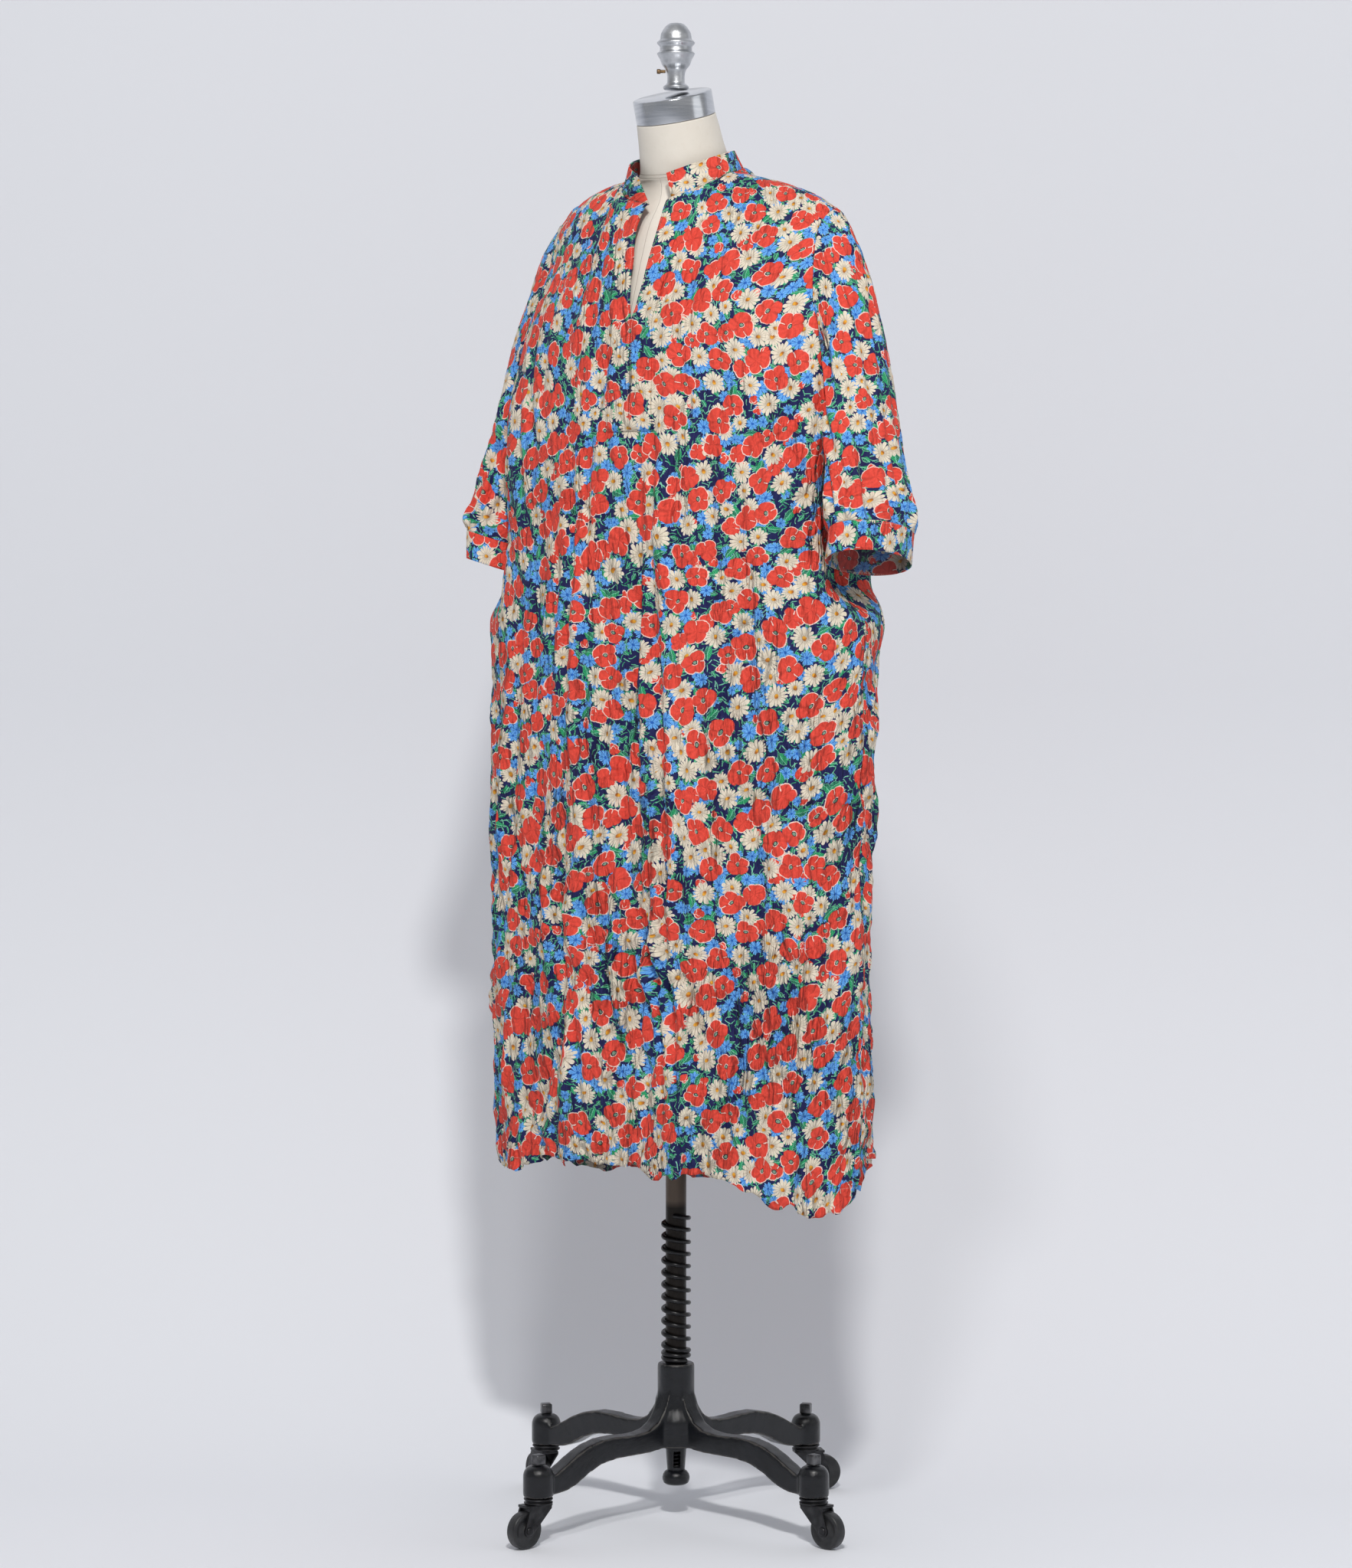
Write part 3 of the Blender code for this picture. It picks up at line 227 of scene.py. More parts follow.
# ---------------------------------------------------------------- sizes of the form and stand
NECK_LEAN = math.radians(15.3)
CAP_CENTRE = (0.0, 0.0, 1.5585)
CAP_RADIUS = 0.0444
CAP_HEIGHT = 0.0267
POST_RADIUS = 0.0115
POST_FOOT_Z = 0.0835
FORM_FLOOR_Z = 0.730
BASE_TURN = math.radians(-6.0)  # the legs' cross against the form
STEM_REACH = 0.2107  # post axis to caster stem
HUB_TOP_Z = 0.1733
SOCKET_FLOOR_Z = 0.053
SPRING_RADIUS = 0.01435
SPRING_WIRE = 0.0025
SPRING_PITCH = 0.0135
SPRING_TURNS = 11.2
SPRING_CLOSED_TURNS = 2
WHEEL_RADIUS = 0.020
WHEEL_WIDTH = 0.013
CASTER_TRAIL = 0.0200
AXLE_RADIUS = 0.003
FORK_INSIDE = 0.0078
FORK_WALL = 0.0022
FINIAL_SCREW_Z = 1.6107

FORM_RINGS = (
    # height, y, half_width, front, back, exponent, lean
    (0.7303, 0.01, 0.12, 0.072, 0.084, 2.2, 0.0), (0.745, 0.01, 0.148, 0.088, 0.1, 2.2, 0.0),
    (0.79, 0.01, 0.17, 0.096, 0.11, 2.2, 0.0), (0.87, 0.01, 0.18, 0.097, 0.113, 2.2, 0.0),
    (0.95, 0.008, 0.17, 0.094, 0.106, 2.2, 0.0), (1.02, 0.004, 0.146, 0.089, 0.095, 2.1, 0.0),
    (1.085, 0.001, 0.128, 0.084, 0.085, 2.1, 0.0), (1.15, 0.001, 0.136, 0.088, 0.089, 2.1, 0.0),
    (1.22, 0.002, 0.151, 0.095, 0.099, 2.2, 0.0), (1.275, 0.005, 0.16, 0.097, 0.104, 2.2, 0.0),
    (1.325, 0.01, 0.168, 0.094, 0.102, 2.1, 0.0), (1.37, 0.016, 0.178, 0.087, 0.098, 2.0, 0.0),
    (1.41, 0.022, 0.183, 0.08, 0.082, 1.9, 0.0), (1.438, 0.026, 0.188, 0.073, 0.069, 1.6, 0.0),
    (1.453, 0.029, 0.187, 0.066, 0.06, 1.4, 0.0), (1.462, 0.03, 0.1695, 0.061, 0.053, 1.3, 0.0),
    (1.472, 0.028, 0.1485, 0.055, 0.051, 1.3, 0.0), (1.48, 0.026, 0.125, 0.052, 0.048, 1.3, 0.05),
    (1.488, 0.023, 0.088, 0.05, 0.046, 1.5, 0.15), (1.495, 0.0215, 0.063, 0.0505, 0.048, 1.9, 0.4),
    (1.505, 0.018, 0.053, 0.05, 0.0465, 2.0, 0.75), (1.52, 0.0122, 0.049, 0.048, 0.046, 2.0, 1.0),
    (1.54, 0.0058, 0.0462, 0.046, 0.0462, 2.0, 1.0), (1.5582, 0.0001, 0.0444, 0.0444, 0.0444, 2.0, 1.0),
)
FINIAL_PROFILE = (
    # radius, height
    (0.0, 1.6647), (0.006, 1.6642), (0.0099, 1.6623), (0.0136, 1.6581), (0.0166, 1.6527),
    (0.0178, 1.6463), (0.0212, 1.6424), (0.0178, 1.6375), (0.018, 1.6335), (0.0211, 1.6304),
    (0.0178, 1.624), (0.0156, 1.618), (0.0108, 1.6114), (0.0097, 1.604), (0.0098, 1.5983),
    (0.0143, 1.5935), (0.0135, 1.5908), (0.007, 1.59), (0.0, 1.59),
)
FINIAL_SCREW_TURN = 39.0
CASTERS = (
    # leg, name, trail_turn
    (0, "left", 3.0),
    (1, "back", -33.5),
    (2, "right", -15.0),
    (3, "front", -3.0),
)


# ---------------------------------------------------------------- small tools
def colour(red, green, blue):
    """A screen colour from 0 to 255 as the linear colour that a shader takes."""
    made = []
    for value in (red, green, blue):
        share = value / 255.0
        made.append(share / 12.92 if share <= 0.04045 else ((share + 0.055) / 1.055) ** 2.4)
    return (*made, 1.0)


def smooth_read(table, values):
    """The table's later columns, read smoothly at each value of its first column."""
    rows = np.array(table, float)
    values = np.asarray(values, float)
    knots = rows[:, 0]
    steps = np.diff(knots)
    inside = np.clip(values, knots[0], knots[-1])
    left = np.clip(np.searchsorted(knots, inside, side="right") - 1, 0, len(steps) - 1)
    share = (inside - knots[left]) / steps[left]
    found = []
    for column in rows.T[1:]:
        rise = np.diff(column) / steps
        slope = np.zeros(len(column))
        same = rise[:-1] * rise[1:] > 0
        safe_before = np.where(same, rise[:-1], 1.0)
        safe_after = np.where(same, rise[1:], 1.0)
        near = 2 * steps[1:] + steps[:-1]
        far = steps[1:] + 2 * steps[:-1]
        slope[1:-1] = np.where(same, (near + far) / (near / safe_before + far / safe_after), 0.0)
        slope[0], slope[-1] = rise[0], rise[-1]
        found.append(curve_between(share, column[left], steps[left] * slope[left],
                                   column[left + 1], steps[left] * slope[left + 1]))
    return found


def curve_between(share, start, leave, end, arrive):
    """A cubic from start to end that leaves and arrives with these slopes."""
    s2, s3 = share ** 2, share ** 3
    return ((2 * s3 - 3 * s2 + 1) * start + (s3 - 2 * s2 + share) * leave
            + (3 * s2 - 2 * s3) * end + (s3 - s2) * arrive)


def ease(value):
    """0 below 0, 1 above 1, and a soft rise between them."""
    share = np.clip(value, 0.0, 1.0)
    return share * share * (3.0 - 2.0 * share)


SHUFFLE = np.random.RandomState(11).permutation(256)
SLOPES = np.random.RandomState(12).normal(size=(256, 3))
SLOPES /= np.linalg.norm(SLOPES, axis=1, keepdims=True)


def ripple(points):
    """Smooth noise, about -1 to 1, at each point; one wave is about two units long."""
    cell = np.floor(points).astype(int)
    inside = points - cell
    fade = inside ** 3 * (inside * (inside * 6.0 - 15.0) + 10.0)
    total = np.zeros(points.shape[:-1])
    for corner in itertools.product((0, 1), repeat=3):
        key = 0
        for axis in range(3):
            key = SHUFFLE[(key + cell[..., axis] + corner[axis]) % 256]
        weight = np.prod(np.abs(1 - np.array(corner) - fade), axis=-1)
        total += weight * (SLOPES[key] * (inside - np.array(corner))).sum(-1)
    return total * 1.6


def lengths_along(points, axis):
    """How far each grid point lies along its row (axis 1) or column (axis 0)."""
    steps = np.linalg.norm(np.diff(points, axis=axis), axis=-1)
    run = np.cumsum(steps, axis=axis)
    return np.concatenate([np.zeros_like(np.take(run, [0], axis)), run], axis)


def new_object(name, mesh):
    made = bpy.data.objects.new(name, mesh)
    bpy.context.scene.collection.objects.link(made)
    return made


def smooth_faces(mesh):
    mesh.polygons.foreach_set("use_smooth", [True] * len(mesh.polygons))


@contextmanager
def cage_of(mesh):
    """The mesh opened for editing, and written back at the end."""
    cage = bmesh.new()
    cage.from_mesh(mesh)
    yield cage
    cage.to_mesh(mesh)
    cage.free()


def read_all(items, name, width=1, kind=np.float32):
    """One value of every item of a mesh, as an array."""
    values = np.empty(len(items) * width, kind)
    items.foreach_get(name, values)
    return values.reshape(-1, width) if width > 1 else values


def evaluated_mesh(made):
    """A new mesh of the object as its modifiers leave it."""
    bpy.context.view_layer.update()
    graph = bpy.context.evaluated_depsgraph_get()
    return bpy.data.meshes.new_from_object(made.evaluated_get(graph))


def settings():
    return bpy.context.scene.shirt_dress


# ---------------------------------------------------------------- form of the dress
def fold_depth(angle, height):
    """How far the soft vertical folds stand out at each angle and height."""
    depth = np.zeros(np.broadcast(angle, height).shape)
    for centre, top, foot, size, width, lean in FOLDS:
        across = (angle - centre - lean * (top - height) + 180.0) % 360.0 - 180.0
        start = np.clip((top - height) / 0.16, 0.0, 1.0)
        end = np.clip((height - foot + 0.06) / 0.10, 0.0, 1.0)
        depth += size * np.exp(-((across / width) ** 2)) * ease(start) * ease(end)
    return depth


def ring_point(angle, height, shape_angle=None):
    """Points of the dress body; shape_angle is where the folds are read."""
    half_width, front, back, dent, set_back = smooth_read(BODY_RINGS, height)
    turn = np.radians(angle)
    beside = (np.abs((angle + 180.0) % 360.0 - 180.0) - 90.0) / SIDE_DENT_WIDTH
    x = half_width * np.sin(turn) * (1.0 - dent * np.exp(-beside * beside))
    y = set_back * np.sin(turn) ** 2 - np.where(np.cos(turn) > 0, front, back) * np.cos(turn)
    bulge = fold_depth(angle if shape_angle is None else shape_angle, height)
    grow = 1.0 + bulge / np.hypot(x, y)
    return np.stack([x * grow, BODY_Y + y * grow, height + 0.0 * x], -1)


def neck_point(turn, ring):
    """Points on an edge of the collar; turn is 0 in front and 180 behind."""
    across = np.sin(np.radians(turn))
    along = -np.cos(np.radians(turn))
    climb = np.sin((1 + along) * math.pi / 4) ** ring["curve"]
    return np.stack([ring["half_width"] * across, ring["y"] + ring["half_depth"] * along,
                     ring["low"] + ring["rise"] * climb], -1)


def neck_turn(angle, back):
    share = np.abs(angle) / NECK_COLUMN
    if back:
        return np.copysign(180.0 - (180.0 - NECK_CORNER) * share, angle)
    return np.copysign(NECK_CORNER * (0.7 * share + 0.3 * share ** 4), angle)


def top_point(angle, back):
    """Where each column of the front or back ends: the neckline or the shoulder seam."""
    run = np.clip((np.abs(angle) - NECK_COLUMN) / (90.0 - NECK_COLUMN), 0.0, 1.0)
    x, y, z = smooth_read(SHOULDER, run)
    corner = neck_point(np.array(NECK_CORNER), NECK_SEAM) - np.array(SHOULDER[0][1:])
    meet = np.clip(1.0 - run * 3.0, 0.0, 1.0)
    shoulder = np.stack([np.copysign(x + corner[0] * meet, angle), y + corner[1] * meet,
                         z + corner[2] * meet], -1)
    limited = np.clip(angle, -NECK_COLUMN, NECK_COLUMN)
    neck = neck_point(neck_turn(limited, back), NECK_SEAM)
    return np.where((np.abs(angle) < NECK_COLUMN)[..., None], neck, shoulder)


def chest_point(angle, climb, back):
    """Points of the front or back above the underarm; angle runs from -90 to 90."""
    angle, climb = np.broadcast_arrays(angle, climb)
    front_edge, back_edge = smooth_read(ARMHOLE, climb)
    narrowing = 1.0 - (back_edge if back else front_edge) / 90.0
    turn = angle * (1.0 - narrowing * np.abs(angle / 90.0) ** 1.5)
    top = top_point(angle, back)
    rounding = smooth_read(ROUNDING, np.abs(angle))[int(back)]
    rise = np.sin(climb * math.pi / 2) ** rounding
    pull = 1.0 - np.maximum(0.0, np.cos(climb * math.pi / 2)) ** rounding
    around = 180.0 - turn if back else turn
    folded = 180.0 - angle if back else angle
    on_ring = ring_point(around, UNDERARM_Z + (top[..., 2] - UNDERARM_Z) * rise, folded)
    flat = on_ring[..., :2] * (1 - pull[..., None]) + top[..., :2] * pull[..., None]
    return np.concatenate([flat, on_ring[..., 2:]], -1)


def front_point(angle, climb, side):
    """Points of the front, opened at the slit; side is -1 or 1, the side of the slit."""
    angle, climb = np.broadcast_arrays(angle, climb)
    closed = chest_point(angle, climb, False)
    half_gap, = smooth_read(SLIT_OPENING, closed[..., 2])
    limit = NECK_COLUMN - side * SLIT_ANGLE
    share = (limit - np.abs(angle - SLIT_ANGLE)) / (limit - PLACKET_ANGLE)
    shift = np.degrees(half_gap / CHEST_HALF_WIDTH) * np.clip(share, 0.0, 1.0)
    return chest_point(angle + side * shift, climb, False)


def hem_height(signed):
    """Height of the hem, with small scallops where the cloth crinkles."""
    hem, = smooth_read(HEM_LINE, signed)
    turn = np.radians(signed)
    around = np.stack([3.4 * np.sin(turn), 3.4 * np.cos(turn), 0.0 * turn + 0.5], -1)
    small = ripple(around * 4.1 + 7.0)
    return hem + 0.0080 * ripple(around * 1.7) + 0.0075 * small - 0.0030 * np.abs(small)


def lower_point(angle, share, back):
    """Points below the underarm; share runs from 0 at the hem to 1 at the underarm."""
    angle, share = np.broadcast_arrays(angle, share)
    around = 180.0 - angle if back else angle
    signed = (around + 180.0) % 360.0 - 180.0
    hem = hem_height(signed)
    return ring_point(around, hem + (UNDERARM_Z - hem) * share)


def round_shoulders(points):
    """Sinks the cloth at the two shoulder points, where it bends over the arm."""
    away = np.abs(points[..., 0]) - SHOULDER[-1][1]
    reach = np.sqrt(away ** 2 + 0.35 * (points[..., 1] - SHOULDER[-1][2]) ** 2
                    + (points[..., 2] - SHOULDER[-1][3]) ** 2)
    sink = SHOULDER_SINK * np.exp(-(reach / 0.027) ** 2)
    points = points.copy()
    points[..., 0] -= np.sign(points[..., 0]) * sink * 0.55
    points[..., 2] -= sink * 0.83
    return points


def cuff_ring(count, below):
    """A ring of points across the left cuff, from the underarm round by the front."""
    turn = math.tau * np.arange(count) / count
    across = -CUFF_HALF_WIDTH * np.cos(turn)
    along = -CUFF_HALF_DEPTH * np.sin(turn)
    lift = CUFF_TILT_OUT * across - CUFF_TILT_FRONT * along
    centre = np.array(CUFF_CENTRE) + np.array((-0.06, -0.06, -1.0)) * below
    return centre + np.stack([across, along, lift], -1)


def sleeve_grid(start, ring, levels):
    """Points of the left sleeve, from its armhole down to its cuff."""
    count = len(start)
    turn = math.tau * np.arange(count) / count
    climb = (1 - np.cos(turn)) / 2
    leave = np.stack([0.50 + 0 * turn, -0.15 * np.sin(turn), -0.86 + 0 * turn], -1)
    leave *= (0.13 + 0.15 * climb)[:, None]
    arrive = np.array((CUFF_TILT_OUT, -CUFF_TILT_FRONT, -1.0)) * (0.12 + 0.06 * climb)[:, None]
    share = levels[:, None, None]
    points = curve_between(share, start, leave, ring, arrive)
    full = SLEEVE_BLOUSE * np.exp(-(((share - 0.90) / 0.10) ** 2)) * np.clip((1 - share) / 0.07, 0, 1)
    outward = np.stack([-0.7 * np.cos(turn), -np.sin(turn), 0 * turn], -1)
    # Gathers run up from the cuff, close and uneven.
    along = GATHER_WAVES * np.stack([np.cos(turn), np.sin(turn), 0 * turn], -1)
    gather = ripple(along * 0.42) + 0.55 * ripple(along * 0.95 + 4.0)
    below = ease((share - 0.70) / 0.24) * np.clip((1 - share) / 0.035, 0.0, 1.0)
    return points + (full + 0.0020 * below * gather[:, None]) * outward


# ---------------------------------------------------------------- the cloth as grids
class Grid:
    """A patch of cloth: rows of points, with where each lies on the flat cloth."""

    def __init__(self, piece, points, across, along, flip=False):
        self.piece = piece
        self.points = points
        self.across = across
        self.along = along
        self.flip = flip


def even_columns(first, last, count, back, height=0.70):
    """Column angles that share the body's girth evenly."""
    fine = np.linspace(first, last, 2000)
    points = ring_point(180.0 - fine if back else fine, np.full(2000, height))
    run = np.concatenate([[0.0], np.cumsum(np.linalg.norm(np.diff(points, axis=0), axis=1))])
    return np.interp(np.linspace(0, run[-1], count + 1), run, fine)


def chest_climbs():
    knots = (0.0, 0.10, 0.21, 0.33, 0.45, 0.57, 0.69, 0.80, 0.91, 1.0)
    table = [(n / 9, climb) for n, climb in enumerate(knots)]
    return smooth_read(table, np.linspace(0.0, 1.0, CHEST_ROWS + 1))[0]


def body_side(piece, columns, back, side=0):
    """One width of the front or back, in two grids that meet at the underarm level."""
    shares = np.linspace(0.0, 1.0, SKIRT_ROWS + 1)[:, None]
    rows = chest_climbs()[:, None]
    skirt = lower_point(columns[None, :], shares, back)
    if back:
        chest = chest_point(columns[None, :], rows, True)
    else:
        chest = front_point(columns[None, :], rows, side)
    whole = np.concatenate([skirt, chest[1:]], 0)
    # The cloth's own measures: round from the centre line, and up from the chest line.
    middle = int(np.argmin(np.abs(columns - (0.0 if back else SLIT_ANGLE))))
    across = lengths_along(whole, 1)
    across = across - across[:, middle:middle + 1]
    along = lengths_along(whole, 0)
    along = along - along[SKIRT_ROWS:SKIRT_ROWS + 1]
    return Grid(piece, whole, across, along, flip=back)


def dress_grids():
    """Every grid of the dress body, sleeves, cuffs and collar."""
    beside = (SLIT_ANGLE - PLACKET_ANGLE, SLIT_ANGLE + PLACKET_ANGLE)
    shoulder = even_columns(NECK_COLUMN, 90.0, SHOULDER_COLUMNS, False)
    left = np.concatenate([np.linspace(SLIT_ANGLE, beside[1], 9)[:-1],
                           even_columns(beside[1], NECK_COLUMN, 14, False)[:-1], shoulder])
    right = np.concatenate([-shoulder[:0:-1], even_columns(-NECK_COLUMN, beside[0], 20, False)[:-1],
                            np.linspace(beside[0], SLIT_ANGLE, 9)])
    back = np.concatenate([-shoulder[::-1], even_columns(-NECK_COLUMN, NECK_COLUMN, 44, True)[1:-1],
                           shoulder])
    fronts = {side: body_side("front", columns, False, side) for side, columns in ((1, left), (-1, right))}
    behind = body_side("back", back, True)
    grids = [fronts[1], fronts[-1], behind]
    for side, name in ((1, "left"), (-1, "right")):
        grids += sleeve_grids(fronts[side], behind, side, name)
    grids.append(collar_grid(fronts, behind, left, right, back))
    return grids, left, right


def sleeve_grids(front, behind, side, name):
    """The sleeve starts on the armhole's own points, and its cuff ends it."""
    mirror = np.array((side, 1.0, 1.0))
    edge = -1 if side > 0 else 0
    front_edge = front.points[SKIRT_ROWS:, edge]
    back_edge = behind.points[SKIRT_ROWS:, edge]
    armhole = np.concatenate([front_edge, back_edge[-2:0:-1]]) * mirror
    drop = 0.0 if side > 0 else RIGHT_CUFF_DROP
    ring = cuff_ring(len(armhole), drop)
    lower_ring = cuff_ring(len(armhole), drop + CUFF_HEIGHT)
    levels = np.linspace(0.0, 1.0, SLEEVE_ROWS)
    points = sleeve_grid(armhole, ring, levels)
    points[0] = armhole
    shares = np.linspace(0.0, 1.0, BAND_ROWS)[:, None, None]
    cuff = ring * (1 - shares) + lower_ring * shares
    made = []
    for piece, grid in (("sleeve_" + name, points), ("cuff_" + name, cuff)):
        closed = np.concatenate([grid, grid[:, :1]], 1) * mirror
        # The tube is measured square to its own axis, so that the print is not sheared.
        axis = closed[-1].mean(0) - closed[0].mean(0)
        axis /= np.linalg.norm(axis)
        down = closed @ axis
        across = lengths_along(closed - down[..., None] * axis, 1)
        across = across - across[:, len(armhole) // 2:len(armhole) // 2 + 1]
        along = -down
        if piece.startswith("sleeve"):
            girth = np.median(across[:, -1] - across[:, 0])
            across, along = settle_flat(closed, girth, -down[-1].mean())
        made.append(Grid(piece, closed, across, along, flip=side > 0))
    return made


def settle_flat(points, girth, low, rounds=600):
    """A tube's flat measures, slipped until each short length is the length on the cloth."""
    run = lengths_along(points, 0)
    across = np.linspace(-0.5, 0.5, points.shape[1]) * girth
    flat = np.stack([np.broadcast_to(across, run.shape), run[-1:] - run + low], -1)
    head, tail, whole = slice(None, -1), slice(1, None), slice(None)
    pairs = [((head, whole), (tail, whole)), ((whole, head), (whole, tail)),
             ((head, head), (tail, tail)), ((head, tail), (tail, head))]
    lengths = [np.linalg.norm(points[b] - points[a], axis=-1) for a, b in pairs]
    for _ in range(rounds):
        slip = np.zeros_like(flat)
        for (a, b), length in zip(pairs, lengths):
            gap = flat[b] - flat[a]
            ratio = length / np.maximum(np.linalg.norm(gap, axis=-1), 1e-6)
            slip[a] += gap * (1 - ratio)[..., None]
            slip[b] -= gap * (1 - ratio)[..., None]
        flat += slip * 0.11
    return flat[..., 0], flat[..., 1]


def collar_grid(fronts, behind, left, right, back):
    """The collar band, from the slit's left edge round the back to its right edge."""
    near = fronts[1].points[-1][left <= NECK_COLUMN + 1e-9]
    inner = np.abs(back) < NECK_COLUMN - 1e-9
    behind_neck = behind.points[-1][inner][::-1]
    far = fronts[-1].points[-1][right >= -NECK_COLUMN - 1e-9]
    seam = np.concatenate([near, behind_neck, far])
    turn = np.degrees(np.arctan2(seam[:, 0] / NECK_SEAM["half_width"],
                                 (NECK_SEAM["y"] - seam[:, 1]) / NECK_SEAM["half_depth"]))
    slants = [COLLAR_END_SLANT[side] * np.clip(1 - np.abs(turn - SLIT_TURNS[side]) / 60, 0, 1)
              for side in ("left", "right")]
    top = neck_point(turn - np.where(turn > 10, *slants), COLLAR_TOP)
    shares = np.linspace(0.0, 1.0, BAND_ROWS)[:, None, None]
    points = seam * (1 - shares) + top * shares
    return Grid("collar", points, lengths_along(points, 1), lengths_along(points, 0))


# ---------------------------------------------------------------- creases and crumples
def crease_depth(creases, across, height):
    """Soft troughs and ridges, each along its own bowed line on the cloth."""
    total = np.zeros(across.shape)
    for u1, v1, u2, v2, bow, width, depth in creases:
        run = np.array((u2 - u1, v2 - v1))
        length = np.linalg.norm(run)
        run = run / length
        du, dv = across - u1, height - v1
        share = (du * run[0] + dv * run[1]) / length
        inside = np.clip(share, 0.0, 1.0)
        away = du * run[1] - dv * run[0] - bow * np.sin(math.pi * inside)
        swell = np.sin(math.pi * inside) ** 0.7
        past = np.where(share < 0, share, np.where(share > 1, share - 1, 0.0)) * length
        spread = (away / width) ** 2 + (past / (1.5 * width)) ** 2
        # A trough has a soft lip beside it, as pressed cloth has.
        body = np.exp(-spread) - 0.38 * np.exp(-((np.abs(away) - 2.1 * width) / width) ** 2
                                               - (past / (1.5 * width)) ** 2)
        total += depth * body * (0.25 + 0.75 * swell)
    return total


def crumple_depth(points):
    """Dry crinkles of washed cotton, longer up and down than across."""
    sway = np.stack([ripple(points * 6 + 3), ripple(points * 6 + 9), 0.5 * ripple(points * 6 + 21)], -1)
    bent = points + 0.030 * sway
    depth = 0.0
    for size, stretch, scale, shift in CRINKLES:
        depth += size * (np.abs(ripple(bent * np.array((1.0, 1.0, stretch)) * scale + shift)) - 0.28)
    patch = 0.7 + 0.5 * ripple(points * 7.0 + 31.0)
    lower = ease((1.30 - points[..., 2]) / 0.75)
    return depth * (0.35 + 0.85 * lower) * np.clip(patch, 0.35, 1.3)


def shared_points(grids, name):
    """For each grid, which place each of its points is at, and how many points share a place."""
    flat = np.concatenate([getattr(grid, name).reshape(-1, 3) for grid in grids])
    keys = np.round(flat / 0.00002).astype(np.int64)
    _, index, count = np.unique(keys, axis=0, return_inverse=True, return_counts=True)
    ends = np.cumsum([grid.points[..., 0].size for grid in grids])[:-1]
    parts = np.split(index.reshape(-1), ends)
    return [part.reshape(grid.points.shape[:2]) for part, grid in zip(parts, grids)], count


def weld_normals(grids):
    """Shared normals of all grids, so that pieces meet smoothly at their seams."""
    places, count = shared_points(grids, "points")
    total = np.zeros((len(count), 3))
    for grid, ids in zip(grids, places):
        p = grid.points
        cross = np.cross(p[1:, 1:] - p[:-1, :-1], p[1:, :-1] - p[:-1, 1:])
        if grid.flip:
            cross = -cross
        for corner in cell_corners(ids):
            np.add.at(total, corner.reshape(-1), cross.reshape(-1, 3))
    total /= np.maximum(np.linalg.norm(total, axis=1, keepdims=True), 1e-12)
    for grid, ids in zip(grids, places):
        grid.normals = total[ids]


def cell_corners(ids):
    """The four corners of every cell of a grid, in order round the cell."""
    return [ids[:-1, :-1], ids[:-1, 1:], ids[1:, 1:], ids[1:, :-1]]


def crumple(grids):
    """Moves every grid along its normals by its creases and crinkles."""
    for grid in grids:
        depth = crumple_depth(grid.points) * settings().crinkle
        if grid.piece in ("front", "back"):
            height = grid.points[..., 2]
            table = FRONT_CREASES if grid.piece == "front" else BACK_CREASES
            creases = crease_depth(np.array(table) / 1000.0, grid.across, height)
            # Creases stop short of the side seams, the armholes and the shoulders.
            from_middle = np.abs(grid.across)
            edge = np.maximum(from_middle[:, :1], from_middle[:, -1:])
            near_side = ease((edge - from_middle) / 0.018)
            near_top = ease((grid.along[-1:] - grid.along) / 0.016)
            depth += creases * near_side * near_top * settings().creases
            # Over the form the folds go in only as far as the form lets them.
            softened = -FORM_STOPS_CREASES * np.tanh(-depth / FORM_STOPS_CREASES)
            depth = np.where((height > FREE_BELOW_Z) & (depth < 0.0), softened, depth)
            depth = np.where(height > LAID_ABOVE_Z, np.maximum(depth * 0.5, -0.0004), depth)
        elif grid.piece.startswith("sleeve"):
            share = np.linspace(0.0, 1.0, len(depth))[:, None]
            turn = np.linspace(0.0, 1.0, depth.shape[1])
            scale = np.array((SLEEVE_GIRTH, SLEEVE_LENGTH, SLEEVE_GIRTH, SLEEVE_LENGTH, 1.0, 1.0, 1.0))
            across, down = np.broadcast_arrays(turn * SLEEVE_GIRTH, share * SLEEVE_LENGTH)
            creases = crease_depth(np.array(SLEEVE_CREASES) * scale, across, down)
            near_cuff = ease((1.0 - share) / 0.03)
            depth = depth * (0.4 + 0.6 * near_cuff)
            depth += creases * ease(share / 0.06) * near_cuff * settings().creases
        elif grid.piece.startswith("cuff"):
            depth = depth * np.linspace(0.4, 0.25, len(depth))[:, None]
        else:
            depth = depth * 0.30
        grid.points = grid.points + grid.normals * depth[..., None]


def close_seams(grids):
    """Puts points that were one before the crumpling back on one place."""
    places, count = shared_points(grids, "base")
    total = np.zeros((len(count), 3))
    for grid, ids in zip(grids, places):
        np.add.at(total, ids.reshape(-1), grid.points.reshape(-1, 3))
    total /= count[:, None]
    for grid, ids in zip(grids, places):
        grid.points = total[ids]


